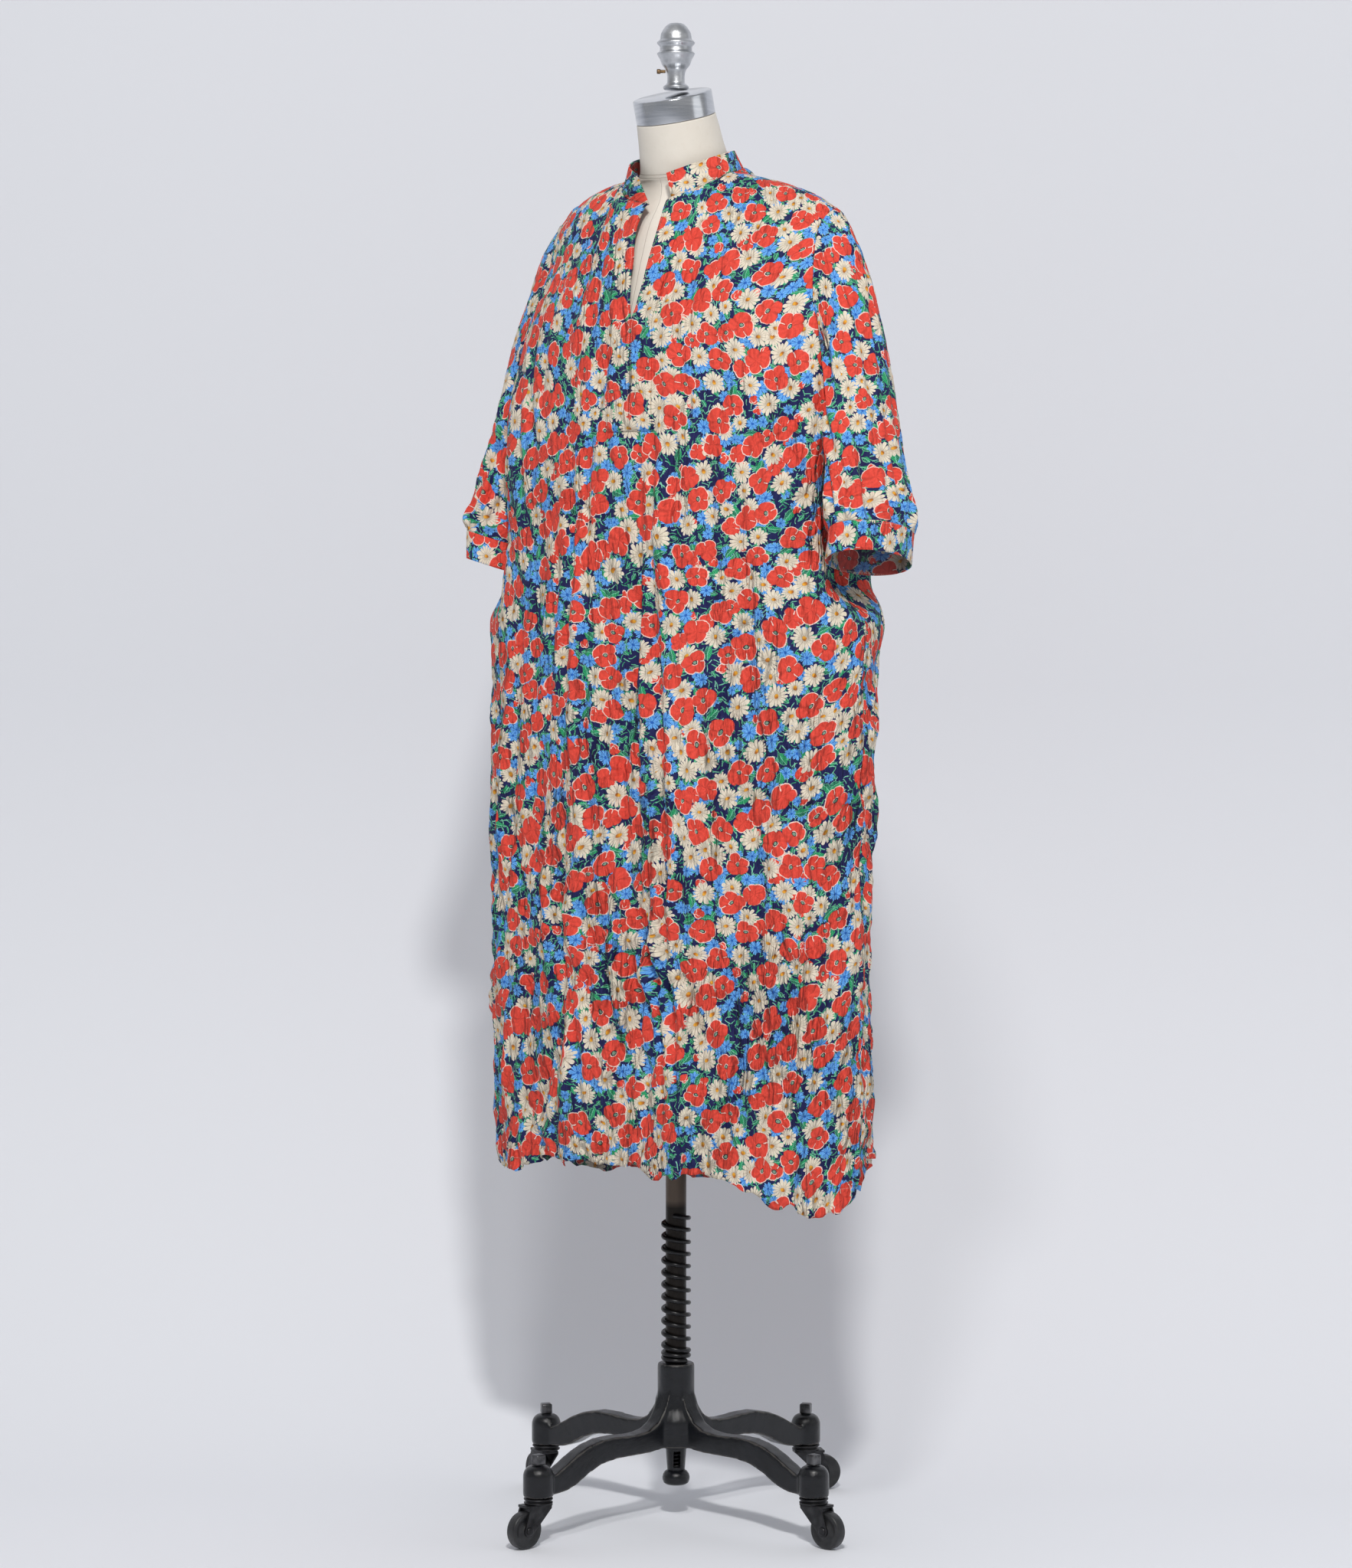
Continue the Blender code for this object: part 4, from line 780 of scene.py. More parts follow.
def cloth_object(name, grids, thickness, finishes):
    """One cloth piece: its grids as quads, with the flat cloth's measures as its UV map."""
    points, quads, uvs = [], [], []
    start = 0
    for grid in grids:
        ids = np.arange(grid.across.size).reshape(grid.across.shape) + start
        corners = cell_corners(ids)[::-1 if grid.flip else 1]
        points.append(grid.points.reshape(-1, 3))
        quads.append(np.stack([c.reshape(-1) for c in corners], 1))
        uvs.append(np.stack([grid.across.reshape(-1), grid.along.reshape(-1)], 1))
        start += ids.size
    points, quads, uvs = np.concatenate(points), np.concatenate(quads), np.concatenate(uvs)
    mesh = bpy.data.meshes.new(name)
    mesh.vertices.add(len(points))
    mesh.vertices.foreach_set("co", points.reshape(-1))
    mesh.loops.add(quads.size)
    mesh.loops.foreach_set("vertex_index", quads.reshape(-1).astype(np.int32))
    mesh.polygons.add(len(quads))
    mesh.polygons.foreach_set("loop_start", np.arange(0, quads.size, 4, dtype=np.int32))
    layer = mesh.uv_layers.new(name="cloth")
    mesh.update()
    layer.data.foreach_set("uv", uvs[quads.reshape(-1)].reshape(-1))
    smooth_faces(mesh)
    with cage_of(mesh) as cage:
        bmesh.ops.remove_doubles(cage, verts=cage.verts, dist=0.00003)
    for finish in finishes:
        mesh.materials.append(finish)
    made = new_object(name, mesh)
    shell = made.modifiers.new("Thickness", "SOLIDIFY")
    shell.thickness = thickness
    shell.offset = -1.0
    shell.use_even_offset = False
    shell.material_offset = 1
    return made


# ---------------------------------------------------------------- shader arithmetic
def arithmetic(operation, swapped=False):
    """A method of Number that adds one maths node."""
    def work(self, *others):
        values = (self, *others)
        return self.wiring.math(operation, *(values[::-1] if swapped else values))
    return work


class Number:
    """A value in a shader tree that can be used in plain arithmetic."""

    def __init__(self, wiring, socket):
        self.wiring = wiring
        self.socket = socket

    __add__ = __radd__ = arithmetic("ADD")
    __mul__ = __rmul__ = arithmetic("MULTIPLY")
    __sub__ = arithmetic("SUBTRACT")
    __rsub__ = arithmetic("SUBTRACT", swapped=True)
    __truediv__ = arithmetic("DIVIDE")
    __pow__ = arithmetic("POWER")
    __abs__ = arithmetic("ABSOLUTE")
    __gt__ = arithmetic("GREATER_THAN")
    __lt__ = arithmetic("LESS_THAN")


class Wiring:
    """Adds nodes to a shader tree and joins them."""

    def __init__(self, tree):
        self.tree = tree

    def add(self, kind, *values, **options):
        """A new node with these options, and these values in its first sockets."""
        node = self.tree.nodes.new("ShaderNode" + kind)
        for name, value in options.items():
            setattr(node, name, value)
        for socket, value in zip(node.inputs, values):
            self.join(value, socket)
        return node

    def join(self, value, socket):
        if isinstance(value, Number):
            value = value.socket
        if isinstance(value, bpy.types.NodeSocket):
            self.tree.links.new(value, socket)
        else:
            socket.default_value = value

    def math(self, operation, *values):
        return Number(self, self.add("Math", *values, operation=operation).outputs[0])

    def sine(self, value):
        return self.math("SINE", value)

    def between(self, value, low, high, new_low=0.0, new_high=1.0):
        """The value's share of the way from low to high, on the new scale."""
        node = self.add("MapRange", value, low, high, new_low, new_high, clamp=True)
        return Number(self, node.outputs["Result"])

    def soft_step(self, value, width):
        """0 below zero, 1 above it, over a soft edge of this width."""
        return self.between(value, -width / 2, width / 2)

    def mix(self, share, first, second):
        node = self.add("Mix", share, data_type="RGBA")
        self.join(first, node.inputs[6])
        self.join(second, node.inputs[7])
        return node.outputs[2]

    def vector(self, operation, *values):
        return self.add("VectorMath", *values, operation=operation).outputs[0]

    def scaled(self, first, share):
        """A colour or a place, times a number."""
        node = self.add("VectorMath", first, operation="SCALE")
        self.join(share, node.inputs["Scale"])
        return node.outputs[0]

    def parts(self, vector):
        return [Number(self, socket) for socket in self.add("SeparateXYZ", vector).outputs]

    def noise_node(self, place, scale, detail, roughness=0.5, flat=False):
        node = self.add("TexNoise", noise_dimensions="2D" if flat else "3D")
        for name, value in (("Vector", place), ("Scale", scale), ("Detail", detail),
                            ("Roughness", roughness)):
            self.join(value, node.inputs[name])
        return node

    def noise(self, *place_and_look, **options):
        return Number(self, self.noise_node(*place_and_look, **options).outputs["Fac"])

    def swayed(self, place, over, scale, detail, reach):
        """The place, moved to and fro over the cloth by up to half of reach."""
        tint = self.noise_node(over, scale, detail, flat=True).outputs["Color"]
        sway = self.vector("SUBTRACT", tint, (0.5, 0.5, 0.5))
        return self.vector("ADD", place, self.scaled(sway, reach))


def new_group(name, inputs, outputs):
    """An empty shader group with named sockets; returns its wiring and its two ends."""
    tree = bpy.data.node_groups.new(name, "ShaderNodeTree")
    for label, kind, default in inputs:
        socket = tree.interface.new_socket(label, in_out="INPUT", socket_type="NodeSocket" + kind)
        if default is not None:
            socket.default_value = default
    for label, kind in outputs:
        tree.interface.new_socket(label, in_out="OUTPUT", socket_type="NodeSocket" + kind)
    source = tree.nodes.new("NodeGroupInput").outputs
    return Wiring(tree), source, tree.nodes.new("NodeGroupOutput").inputs


def use_group(wiring, name, **values):
    """A placed shader group, as its outputs by name."""
    node = wiring.add("Group", node_tree=bpy.data.node_groups[name])
    for label, value in values.items():
        wiring.join(value, node.inputs[label])
    return {socket.name: Number(wiring, socket) for socket in node.outputs}


# ---------------------------------------------------------------- the printed flowers
def scattered(w, place, spacing, randomness, shift):
    """The nearest one of a scattered field: where it lies from here, and its chances."""
    moved = w.vector("ADD", place, (*shift, 0.0))
    field = w.add("TexVoronoi", voronoi_dimensions="2D", feature="F1")
    w.join(moved, field.inputs["Vector"])
    field.inputs["Scale"].default_value = 1.0 / spacing
    field.inputs["Randomness"].default_value = randomness
    x, y, _ = w.parts(w.vector("SUBTRACT", moved, field.outputs["Position"]))
    return x, y, w.parts(field.outputs["Color"])


def turned_place(w, x, y, turn):
    """The place seen from an object turned by this angle."""
    cosine = w.math("COSINE", turn)
    sine = w.sine(turn)
    return x * cosine + y * sine, y * cosine - x * sine


def flower_place(w, x, y, chance):
    """The place on a flower turned by chance, and its distance and angle from the middle."""
    px, py = turned_place(w, x, y, chance * math.tau)
    far = w.math("SQRT", px * px + py * py)
    return px, py, far, w.math("ARCTAN2", py, px)


def poppy(w, x, y, size, chances, colours, veins):
    """A poppy with four broad petals, part outlined in white, round a pale eye."""
    px, py = turned_place(w, x, y, chances[0] * math.tau)
    far = w.math("SQRT", px * px * (0.90 + 0.28 * chances[1]) + py * py)
    angle = w.math("ARCTAN2", py, px)
    lobes = abs(w.sine(angle * 2.0 + 0.6 * w.sine(angle + chances[1] * 6.0)))
    edge = size * (0.76 + 0.25 * lobes ** 0.45 + 0.06 * w.sine(angle * 3.0 + chances[2] * 9.0))
    inside = w.soft_step(edge - far, 0.3)
    facing = w.sine(angle + chances[1] * 6.28)
    rim = w.soft_step(far - edge + 0.95, 0.3) * w.soft_step(facing + 0.25, 0.5)
    split = w.soft_step(0.42 - lobes * far * 0.5, 0.3) * w.soft_step(far - size * 0.45, 0.8)
    split = split * w.soft_step(w.sine(angle + chances[2] * 6.28) - 0.35, 0.3)
    white = w.math("MAXIMUM", rim, split)
    shade = 0.80 + 0.34 * veins + 0.07 * w.sine(angle * 9.0 + far * 0.6)
    shade = w.math("MINIMUM", shade, 1.10) - 0.22 * w.soft_step(0.30 - lobes, 0.3)
    shade = shade - 0.20 * w.soft_step(far - edge + 0.7, 0.6)
    petal = w.scaled(colours["poppy"], shade)
    made = w.mix(white * 0.85, petal, colours["line"])
    # A poppy seen from its side has no eye.
    open_flower = chances[2] > 0.24
    eye = w.math("SQRT", px * px * 1.7 + py * py)
    ring = w.soft_step(3.4 - eye, 0.4) * w.soft_step(facing - 0.1, 0.4) * open_flower
    made = w.mix(ring, made, colours["line"])
    made = w.mix(w.soft_step(2.8 - eye, 0.3) * open_flower, made, colours["dark"])
    made = w.mix(w.soft_step(1.8 - eye, 0.3) * open_flower, made, colours["eye"])
    return made, inside


def daisy(w, x, y, size, chances, colours, veins):
    """A daisy: about fifteen cream petals with grey lines round a mustard centre."""
    px, py, far, angle = flower_place(w, x, y, chances[1])
    count = angle * (15.0 / math.tau) + 0.35 * w.sine(angle * 2.0 + chances[2] * 9.0)
    across = abs(w.math("FRACT", count) - 0.5) * 2.0
    length = 0.93 + 0.09 * w.sine(w.math("FLOOR", count) * 2.4 + chances[0] * 20.0)
    edge = size * (length - 0.30 * across ** 2.6)
    inside = w.soft_step(edge - far, 0.3)
    gap = w.soft_step(across - 0.80, 0.3) * w.soft_step(far - size * 0.22, 1.5)
    vein = w.soft_step(0.16 - across, 0.2) * w.soft_step(veins - 0.52, 0.1)
    tone = w.scaled(colours["daisy"], 0.93 + 0.14 * veins)
    made = w.mix(gap * 0.62 + vein * 0.25, tone, colours["daisy line"])
    near = w.soft_step(size * 0.40 - far, 2.2)
    made = w.mix(near * 0.30, made, colours["daisy line"])
    middle = w.math("SQRT", px * px * 1.9 + py * py)
    made = w.mix(w.soft_step(3.0 - middle, 0.5) * 0.8, made, colours["daisy line"])
    heart = w.mix(w.soft_step(py * 0.7 + veins - 0.6, 1.6), colours["heart"], colours["heart shade"])
    made = w.mix(w.soft_step(2.6 - middle, 0.4), made, heart)
    return made, inside


def cornflower(w, x, y, size, chances, colours, veins):
    """A small ragged blue flower with pale streaks."""
    _, _, far, angle = flower_place(w, x, y, chances[0])
    rays = abs(w.sine(angle * 3.5 + chances[1] * 6.0))
    teeth = abs(w.sine(angle * 9.0 + chances[2] * 9.0))
    edge = size * (0.52 + 0.34 * rays ** 0.7 + 0.20 * teeth)
    inside = w.soft_step(edge - far, 0.3)
    streak = w.soft_step(teeth - 0.62, 0.4) * w.soft_step(far - size * 0.18, 0.5)
    made = w.mix(streak * 0.65, colours["blue"], colours["blue light"])
    deep = w.soft_step(0.30 - rays, 0.3)
    made = w.mix(deep * 0.75, made, colours["blue deep"])
    heart = w.soft_step(size * 0.22 - far, 0.5)
    return w.mix(heart * 0.6, made, colours["blue deep"]), inside


def leaf(w, x, y, size, chances, colours, veins):
    """A pointed leaf with a mint midrib, and a stem behind it."""
    px, py = turned_place(w, x, y, chances[0] * math.tau)
    py = py + 0.05 * px * px * (chances[1] - 0.5)
    along = px / size
    half = size * (0.40 + 0.16 * chances[2]) * (1.0 - along * along)
    inside = w.soft_step(half - abs(py), 0.3) * (abs(along) < 1.0)
    tone = w.mix(w.soft_step(py, 0.8), colours["leaf"], colours["leaf deep"])
    side_vein = abs(w.math("FRACT", px * 0.55 + abs(py) * 0.5) - 0.5)
    tone = w.mix(w.soft_step(side_vein - 0.40, 0.1) * 0.55, tone, colours["mint"])
    tone = w.mix(w.soft_step(0.30 - abs(py), 0.2) * 0.8, tone, colours["mint"])
    rim = w.soft_step(abs(py) - half + 0.38, 0.2) * w.soft_step(py, 0.3)
    return w.mix(rim * 0.7, tone, colours["mint"]), inside


def bud(w, x, y, size, chances, colours, veins):
    """A small closed poppy, red all over."""
    red = colours["poppy"]
    return poppy(w, x, y, size, chances, dict(colours, eye=red, dark=red), veins)


def stem(w, x, y, size, chances, colours, veins):
    """A thin curved mint stem."""
    px, py = turned_place(w, x, y, chances[2] * math.tau)
    bowed = py - 0.09 * px * px * (chances[0] * 2.0 - 1.0)
    thin = w.soft_step(0.42 - abs(bowed), 0.3) * (abs(px) < size)
    return w.mix(chances[1], colours["mint"], colours["leaf"]), thin


PRINT_INKS = ("Ground", "Poppy", "Daisy", "Cornflower", "Leaf")
PRINT_LAYERS = (
    # The lowest is first. A motif of this size, plus growth times chance number grown_by, shows
    # where chance number kept_by lies between low and high. All but the last three columns are
    # millimetres. The crossed layers share one slanted field, so that like keeps from like.
    # motif, crossed, spacing, randomness, shift, size, growth, grown_by, kept_by, low, high
    (stem, False, 8.0, 0.9, (3.1, 4.7), 3.6, 0.0, 0, 0, -1.0, 2.0),
    (stem, False, 9.5, 0.9, (17.9, 23.3), 3.6, 0.0, 0, 0, -1.0, 2.0),
    (leaf, False, 10.5, 0.85, (1.3, 8.1), 4.6, 0.0, 0, 1, 0.50, 2.0),
    (leaf, False, 15.0, 0.85, (6.7, 2.9), 6.8, 0.0, 0, 1, 0.42, 2.0),
    (cornflower, False, 15.0, 0.8, (9.7, 3.3), 5.6, 1.4, 2, 1, 0.42, 2.0),
    (leaf, False, 22.0, 0.8, (4.1, 15.2), 8.4, 0.0, 0, 1, 0.50, 2.0),
    (bud, True, 18.5, 0.8, (9.0, 4.0), 4.2, 2.6, 2, 0, 0.82, 2.0),
    (daisy, True, 41.0, 0.56, (20.5, 0.0), 9.0, 2.0, 0, 2, 0.68, 1.0),
    (poppy, True, 41.0, 0.56, (20.5, 0.0), 9.2, 2.0, 0, 2, 0.0, 0.36),
    (cornflower, True, 41.0, 0.56, (20.5, 0.0), 6.2, 2.0, 0, 2, 0.36, 0.60),
    (daisy, True, 41.0, 0.56, (0.0, 20.5), 8.6, 2.0, 0, 2, 0.80, 1.0),
    (cornflower, True, 41.0, 0.56, (0.0, 20.5), 6.6, 2.0, 0, 2, 0.26, 0.80),
    (daisy, True, 41.0, 0.56, (20.5, 20.5), 11.2, 2.4, 0, 1, 0.03, 2.0),
    (poppy, True, 41.0, 0.56, (0.0, 0.0), 12.8, 2.4, 0, 1, 0.03, 2.0),
)


def build_print():
    """The shader group of the print: field flowers tossed over a dark ground."""
    inputs = [("Place", "Vector", None), ("Size", "Float", 1.0)]
    inputs += [(name, "Color", None) for name in PRINT_INKS]
    w, source, end = new_group("Field flower print", inputs, [("Color", "Color")])
    flat = w.scaled(source["Place"], w.math("DIVIDE", 1000.0, source["Size"]))
    place = w.swayed(flat, flat, 0.16, 1.0, 1.8)
    place = w.swayed(place, flat, 0.7, 0.0, 0.5)
    veins = w.noise(place, 0.75, 2.0, flat=True)
    colours = {
        "poppy": source["Poppy"], "daisy": source["Daisy"], "blue": source["Cornflower"],
        "leaf": source["Leaf"],
        "line": colour(250, 226, 214), "dark": colour(58, 46, 52), "eye": colour(128, 158, 136),
        "daisy line": colour(142, 126, 106), "heart": colour(230, 164, 56),
        "heart shade": colour(176, 104, 40), "mint": colour(140, 214, 182),
        "blue light": colour(138, 196, 246), "blue deep": colour(26, 66, 158),
        "leaf deep": colour(12, 106, 78),
    }
    made = w.scaled(source["Ground"], 0.9 + 0.2 * veins)
    x, y, _ = w.parts(w.swayed(place, flat, 0.006, 0.0, 30.0))
    slanted = w.add("CombineXYZ", *turned_place(w, x, y, 0.47)).outputs[0]
    for layer in PRINT_LAYERS:
        motif, crossed, spacing, randomness, shift, size, growth, grown_by, kept_by, low, high = layer
        x, y, chances = scattered(w, slanted if crossed else place, spacing, randomness, shift)
        size = size + growth * chances[grown_by] if growth else size
        tone, mask = motif(w, x, y, size, chances, colours, veins)
        kept = mask * (chances[kept_by] > low) * (chances[kept_by] < high)
        made = w.mix(kept, made, tone)
    w.join(made, end["Color"])


# ---------------------------------------------------------------- shared surface effects
def build_crinkle():
    """Small dry crinkles and the weave of a light cotton, as one height in metres."""
    w, source, end = new_group("Cotton surface", [("Place", "Vector", None), ("Crinkle", "Float", 1.0)],
                               [("Height", "Float"), ("Rubbed", "Float")])
    # Millimetres across and a third of that along, so that the crinkles run up and down.
    flat = w.vector("MULTIPLY", source["Place"], (1000.0, 300.0, 1.0))
    bent = w.swayed(flat, flat, 0.05, 1.0, 7.0)
    broad = abs(w.noise(bent, 0.070, 1.0, flat=True) - 0.5)
    fine = abs(w.noise(bent, 0.19, 1.0, flat=True) - 0.5)
    patch = w.between(w.noise(flat, 0.018, 1.0, flat=True), 0.35, 0.65, 0.35, 1.0)
    x, y, _ = w.parts(w.scaled(source["Place"], 1000.0))
    # The skirt is the most crushed, and the chest and sleeves the least.
    crushed = w.between(y, 60.0, -420.0, 0.45, 1.0)
    crinkle = (broad * 0.0200 + fine * 0.0060) * patch * crushed * source["Crinkle"]
    weave = w.sine(x * 16.0) * w.sine(y * 16.0) * 0.000012
    w.join(crinkle + weave, end["Height"])
    w.join(w.noise(bent, 0.4, 2.0, flat=True), end["Rubbed"])


def build_stitches():
    """A line of machine stitches: distance from the line, and how far along it."""
    w, source, end = new_group("Stitch line", [("Edges", "Vector", None), ("Length", "Float", 0.0026)],
                               [("Thread", "Float"), ("Height", "Float")])
    along, away, _ = w.parts(source["Edges"])
    dash = abs(w.math("FRACT", along / source["Length"]) - 0.5)
    thread = w.soft_step(0.00042 - abs(away), 0.0003) * w.soft_step(0.34 - dash, 0.1)
    groove = w.math("EXPONENT", away * away * -900000.0)
    w.join(thread, end["Thread"])
    w.join(thread * 0.00016 - groove * 0.00030, end["Height"])


def build_wear():
    """Mottled wear: a broad mask and a fine one, from a place in metres."""
    w, source, end = new_group("Wear", [("Place", "Vector", None), ("Size", "Float", 0.02)],
                               [("Broad", "Float"), ("Fine", "Float")])
    place = w.scaled(source["Place"], w.math("DIVIDE", 1.0, source["Size"]))
    w.join(w.noise(place, 0.8, 3.0), end["Broad"])
    w.join(w.noise(place, 9.0, 4.0, 0.65), end["Fine"])


def new_material(name):
    made = bpy.data.materials.new(name)
    made.use_nodes = True
    return made, Wiring(made.node_tree), made.node_tree.nodes["Principled BSDF"]


def worn(w, size, brushed=1.0):
    """A place on the piece in metres, and the broad and fine masks of its wear."""
    place = w.add("TexCoord").outputs["Object"]
    if brushed != 1.0:
        place = w.vector("MULTIPLY", place, (1.0, 1.0, brushed))
    masks = use_group(w, "Wear", Place=place, Size=size)
    return place, masks["Broad"], masks["Fine"]


def finish(w, shader, tone, roughness, height, **plain):
    """Joins what varies over the surface, with its height in metres, and sets the rest."""
    w.join(tone, shader.inputs["Base Color"])
    w.join(roughness, shader.inputs["Roughness"])
    for name, value in plain.items():
        shader.inputs[name.replace("_", " ")].default_value = value
    bump = w.add("Bump")
    bump.inputs["Strength"].default_value = 1.0
    bump.inputs["Distance"].default_value = 1.0
    w.join(height, bump.inputs["Height"])
    w.join(bump.outputs["Normal"], shader.inputs["Normal"])


def cloth_material(name, reverse=False):
    """The printed cotton; its reverse is greyed as the print soaked through, and darkened as painted shade
    for the inside of cuffs, sleeves and hem.
    """
    made, w, shader = new_material(name)
    place, edges = (w.add("UVMap", uv_map=layer).outputs["UV"] for layer in ("cloth", "edges"))
    look = settings()
    inks = {ink: getattr(look, ink.lower() + "_colour") for ink in PRINT_INKS}
    printed = use_group(w, "Field flower print", Place=place, Size=look.print_size, **inks)["Color"]
    surface = use_group(w, "Cotton surface", Place=place, Crinkle=look.crinkle)
    stitches = use_group(w, "Stitch line", Edges=edges)
    rubbed = surface["Rubbed"]
    tone = w.scaled(printed, 0.92 + 0.16 * rubbed)
    if reverse:
        # Painted shade: the reverse is mixed with a dark grey and darkened to 0.66, standing in for the
        # shade inside the cloth; the greying is the print soaked through.
        tone = w.scaled(w.mix(0.30, tone, colour(116, 100, 106)), 0.66)
    tone = w.mix(stitches["Thread"] * 0.40, tone, colour(206, 190, 176))
    finish(w, shader, tone, w.between(rubbed, 0.3, 0.7, 0.62, 0.80), surface["Height"] + stitches["Height"],
           Sheen_Weight=0.02, Sheen_Roughness=0.45, Specular_IOR_Level=0.16)
    return made


def canvas_material():
    """Unbleached canvas on the form, with its seams, a few faint stains, and painted light below the neck.
    """
    made, w, shader = new_material("form_canvas")
    place, broad, fine = worn(w, 0.05)
    x, y, z = w.parts(place)
    warp = w.sine(x * 7800.0 + y * 7800.0) * w.sine(z * 7800.0)
    tone = w.mix(w.between(broad, 0.3, 0.75), colour(229, 223, 212), colour(217, 210, 198))
    tone = w.mix(w.between(fine, 0.55, 0.85) * 0.3, tone, colour(205, 195, 176))
    # Painted light: the canvas below the neck, seen in the slit, is brightened up to 1.22 times to stand in
    # for light falling on it.
    tone = w.scaled(tone, w.between(z, 1.495, 1.480, 1.0, 1.22))
    # Two rows of stitching round the foot of the neck and one seam down the middle.
    leaned = z - 0.27 * y
    lines = (w.soft_step(0.0005 - abs(leaned - 1.4975), 0.0004)
             + w.soft_step(0.0005 - abs(leaned - 1.5015), 0.0004))
    down = w.soft_step(0.0004 - abs(x), 0.0004) * (leaned < 1.4975)
    tone = w.mix(w.math("MINIMUM", lines * 0.25 + down * 0.25, 1.0), tone, colour(168, 156, 138))
    finish(w, shader, tone, w.between(fine, 0.3, 0.7, 0.78, 0.92),
           warp * 0.00003 - (lines + down) * 0.0004 + fine * 0.0001, Sheen_Weight=0.1)
    return made


def metal_material(name, light, dark, rough, size, brushed=1.0, metallic=1.0, pits=0.4, greased_below=0.0):
    """A metal with mottled tone and roughness; brushed stretches its marks round the part.

    greased_below is the height under which old grease has blackened it.
    """
    made, w, shader = new_material(name)
    place, broad, fine = worn(w, size, brushed)
    tone = w.mix(w.between(broad, 0.3, 0.7), colour(*light), colour(*dark))
    if greased_below:
        height = w.parts(place)[2] / brushed
        grease = w.between(height, greased_below + 0.004, greased_below - 0.004, 0.0, 0.88)
        tone = w.mix(grease, tone, colour(16, 15, 15))
    finish(w, shader, tone, w.between(fine, 0.25, 0.75, *rough), fine * (0.0002 * pits), Metallic=metallic)
    return made


def enamel_material():
    """Black gloss enamel on rough iron, rubbed grey along its raised edges."""
    made, w, shader = new_material("black_enamel")
    _, broad, fine = worn(w, 0.012)
    edge = Number(w, w.add("Attribute", attribute_name="raised").outputs["Fac"])
    rubbed = w.between(edge * (0.4 + broad) + fine * 0.25, 0.62, 0.90)
    tone = w.mix(w.between(broad, 0.35, 0.7), colour(10, 12, 16), colour(19, 21, 26))
    finish(w, shader, w.mix(rubbed * 0.6, tone, colour(84, 80, 76)),
           w.between(fine, 0.3, 0.7, 0.09, 0.26) + rubbed * 0.25, fine * 0.0003 + broad * 0.0006,
           Specular_IOR_Level=0.42)
    return made


def rubber_material():
    """Dull black rubber, a little dusty."""
    made, w, shader = new_material("wheel_rubber")
    _, broad, fine = worn(w, 0.008)
    tone = w.mix(w.between(broad, 0.35, 0.7), colour(24, 25, 28), colour(46, 46, 47))
    finish(w, shader, tone, w.between(fine, 0.3, 0.7, 0.30, 0.52), fine * 0.0002)
    return made


# ---------------------------------------------------------------- stage
LIGHTS = (
    # name, place by from_camera, size, share of the key light's power, tint
    ("key_right", (0.17, 3.8, 3.7), 0.35, 1.0, (1.0, 0.985, 0.965)),
    ("key_left", (-0.42, 3.4, 4.2), 0.5, 0.34, (1.0, 0.985, 0.975)),
    ("soft_right", (3.4, 1.2, 1.6), 2.0, 0.06, (0.97, 0.985, 1.0)),
)
LIT_POINT = Vector((0.0, 0.0, 0.95))


def area_light(name, place, size, power, tint):
    """A round soft light that faces the middle of the dress."""
    lamp = bpy.data.lights.new(name, "AREA")
    lamp.shape = "DISK"
    lamp.size = size
    lamp.energy = power
    lamp.color = tint
    made = new_object(name, lamp)
    made.location = from_camera(*place)
    made.rotation_euler = (LIT_POINT - made.location).to_track_quat("-Z", "Y").to_euler()


def from_camera(right, toward, up):
    """A place by how far it is to the camera's right, towards the camera, and up."""
    turn = math.radians(CAMERA_TURN)
    return (right * math.cos(turn) + toward * math.sin(turn),
            right * math.sin(turn) - toward * math.cos(turn), up)


CAMERA_TURN = 39.0
CAMERA_FAR = 5.0
CAMERA_HEIGHT = 1.057
CAMERA_DIP = 0.44
WALL_BACK = -1.05
CURVE = 0.9
CURVE_STEPS = 24
HALF_STAGE = 8.0


def stage_material():
    """Pale matt paper; its back is clear, so the wall never hides the dress."""
    made, w, shader = new_material("studio_paper")
    height = w.parts(w.add("TexCoord").outputs["Object"])[2]
    # Painted light: the sweep is brightened along the floor, up to 1.14 times the paper colour, fading to
    # none up the wall.
    paper = tuple(settings().paper_colour)[:3]
    w.join(w.scaled(paper, w.between(height, 0.0, 0.9, 1.14, 1.0)), shader.inputs["Base Color"])
    shader.inputs["Roughness"].default_value = 0.9
    shader.inputs["Specular IOR Level"].default_value = 0.1
    back = w.add("NewGeometry").outputs["Backfacing"]
    both = w.add("MixShader", back, shader.outputs[0], w.add("BsdfTransparent").outputs[0])
    w.join(both.outputs[0], made.node_tree.nodes["Material Output"].inputs["Surface"])
    return made


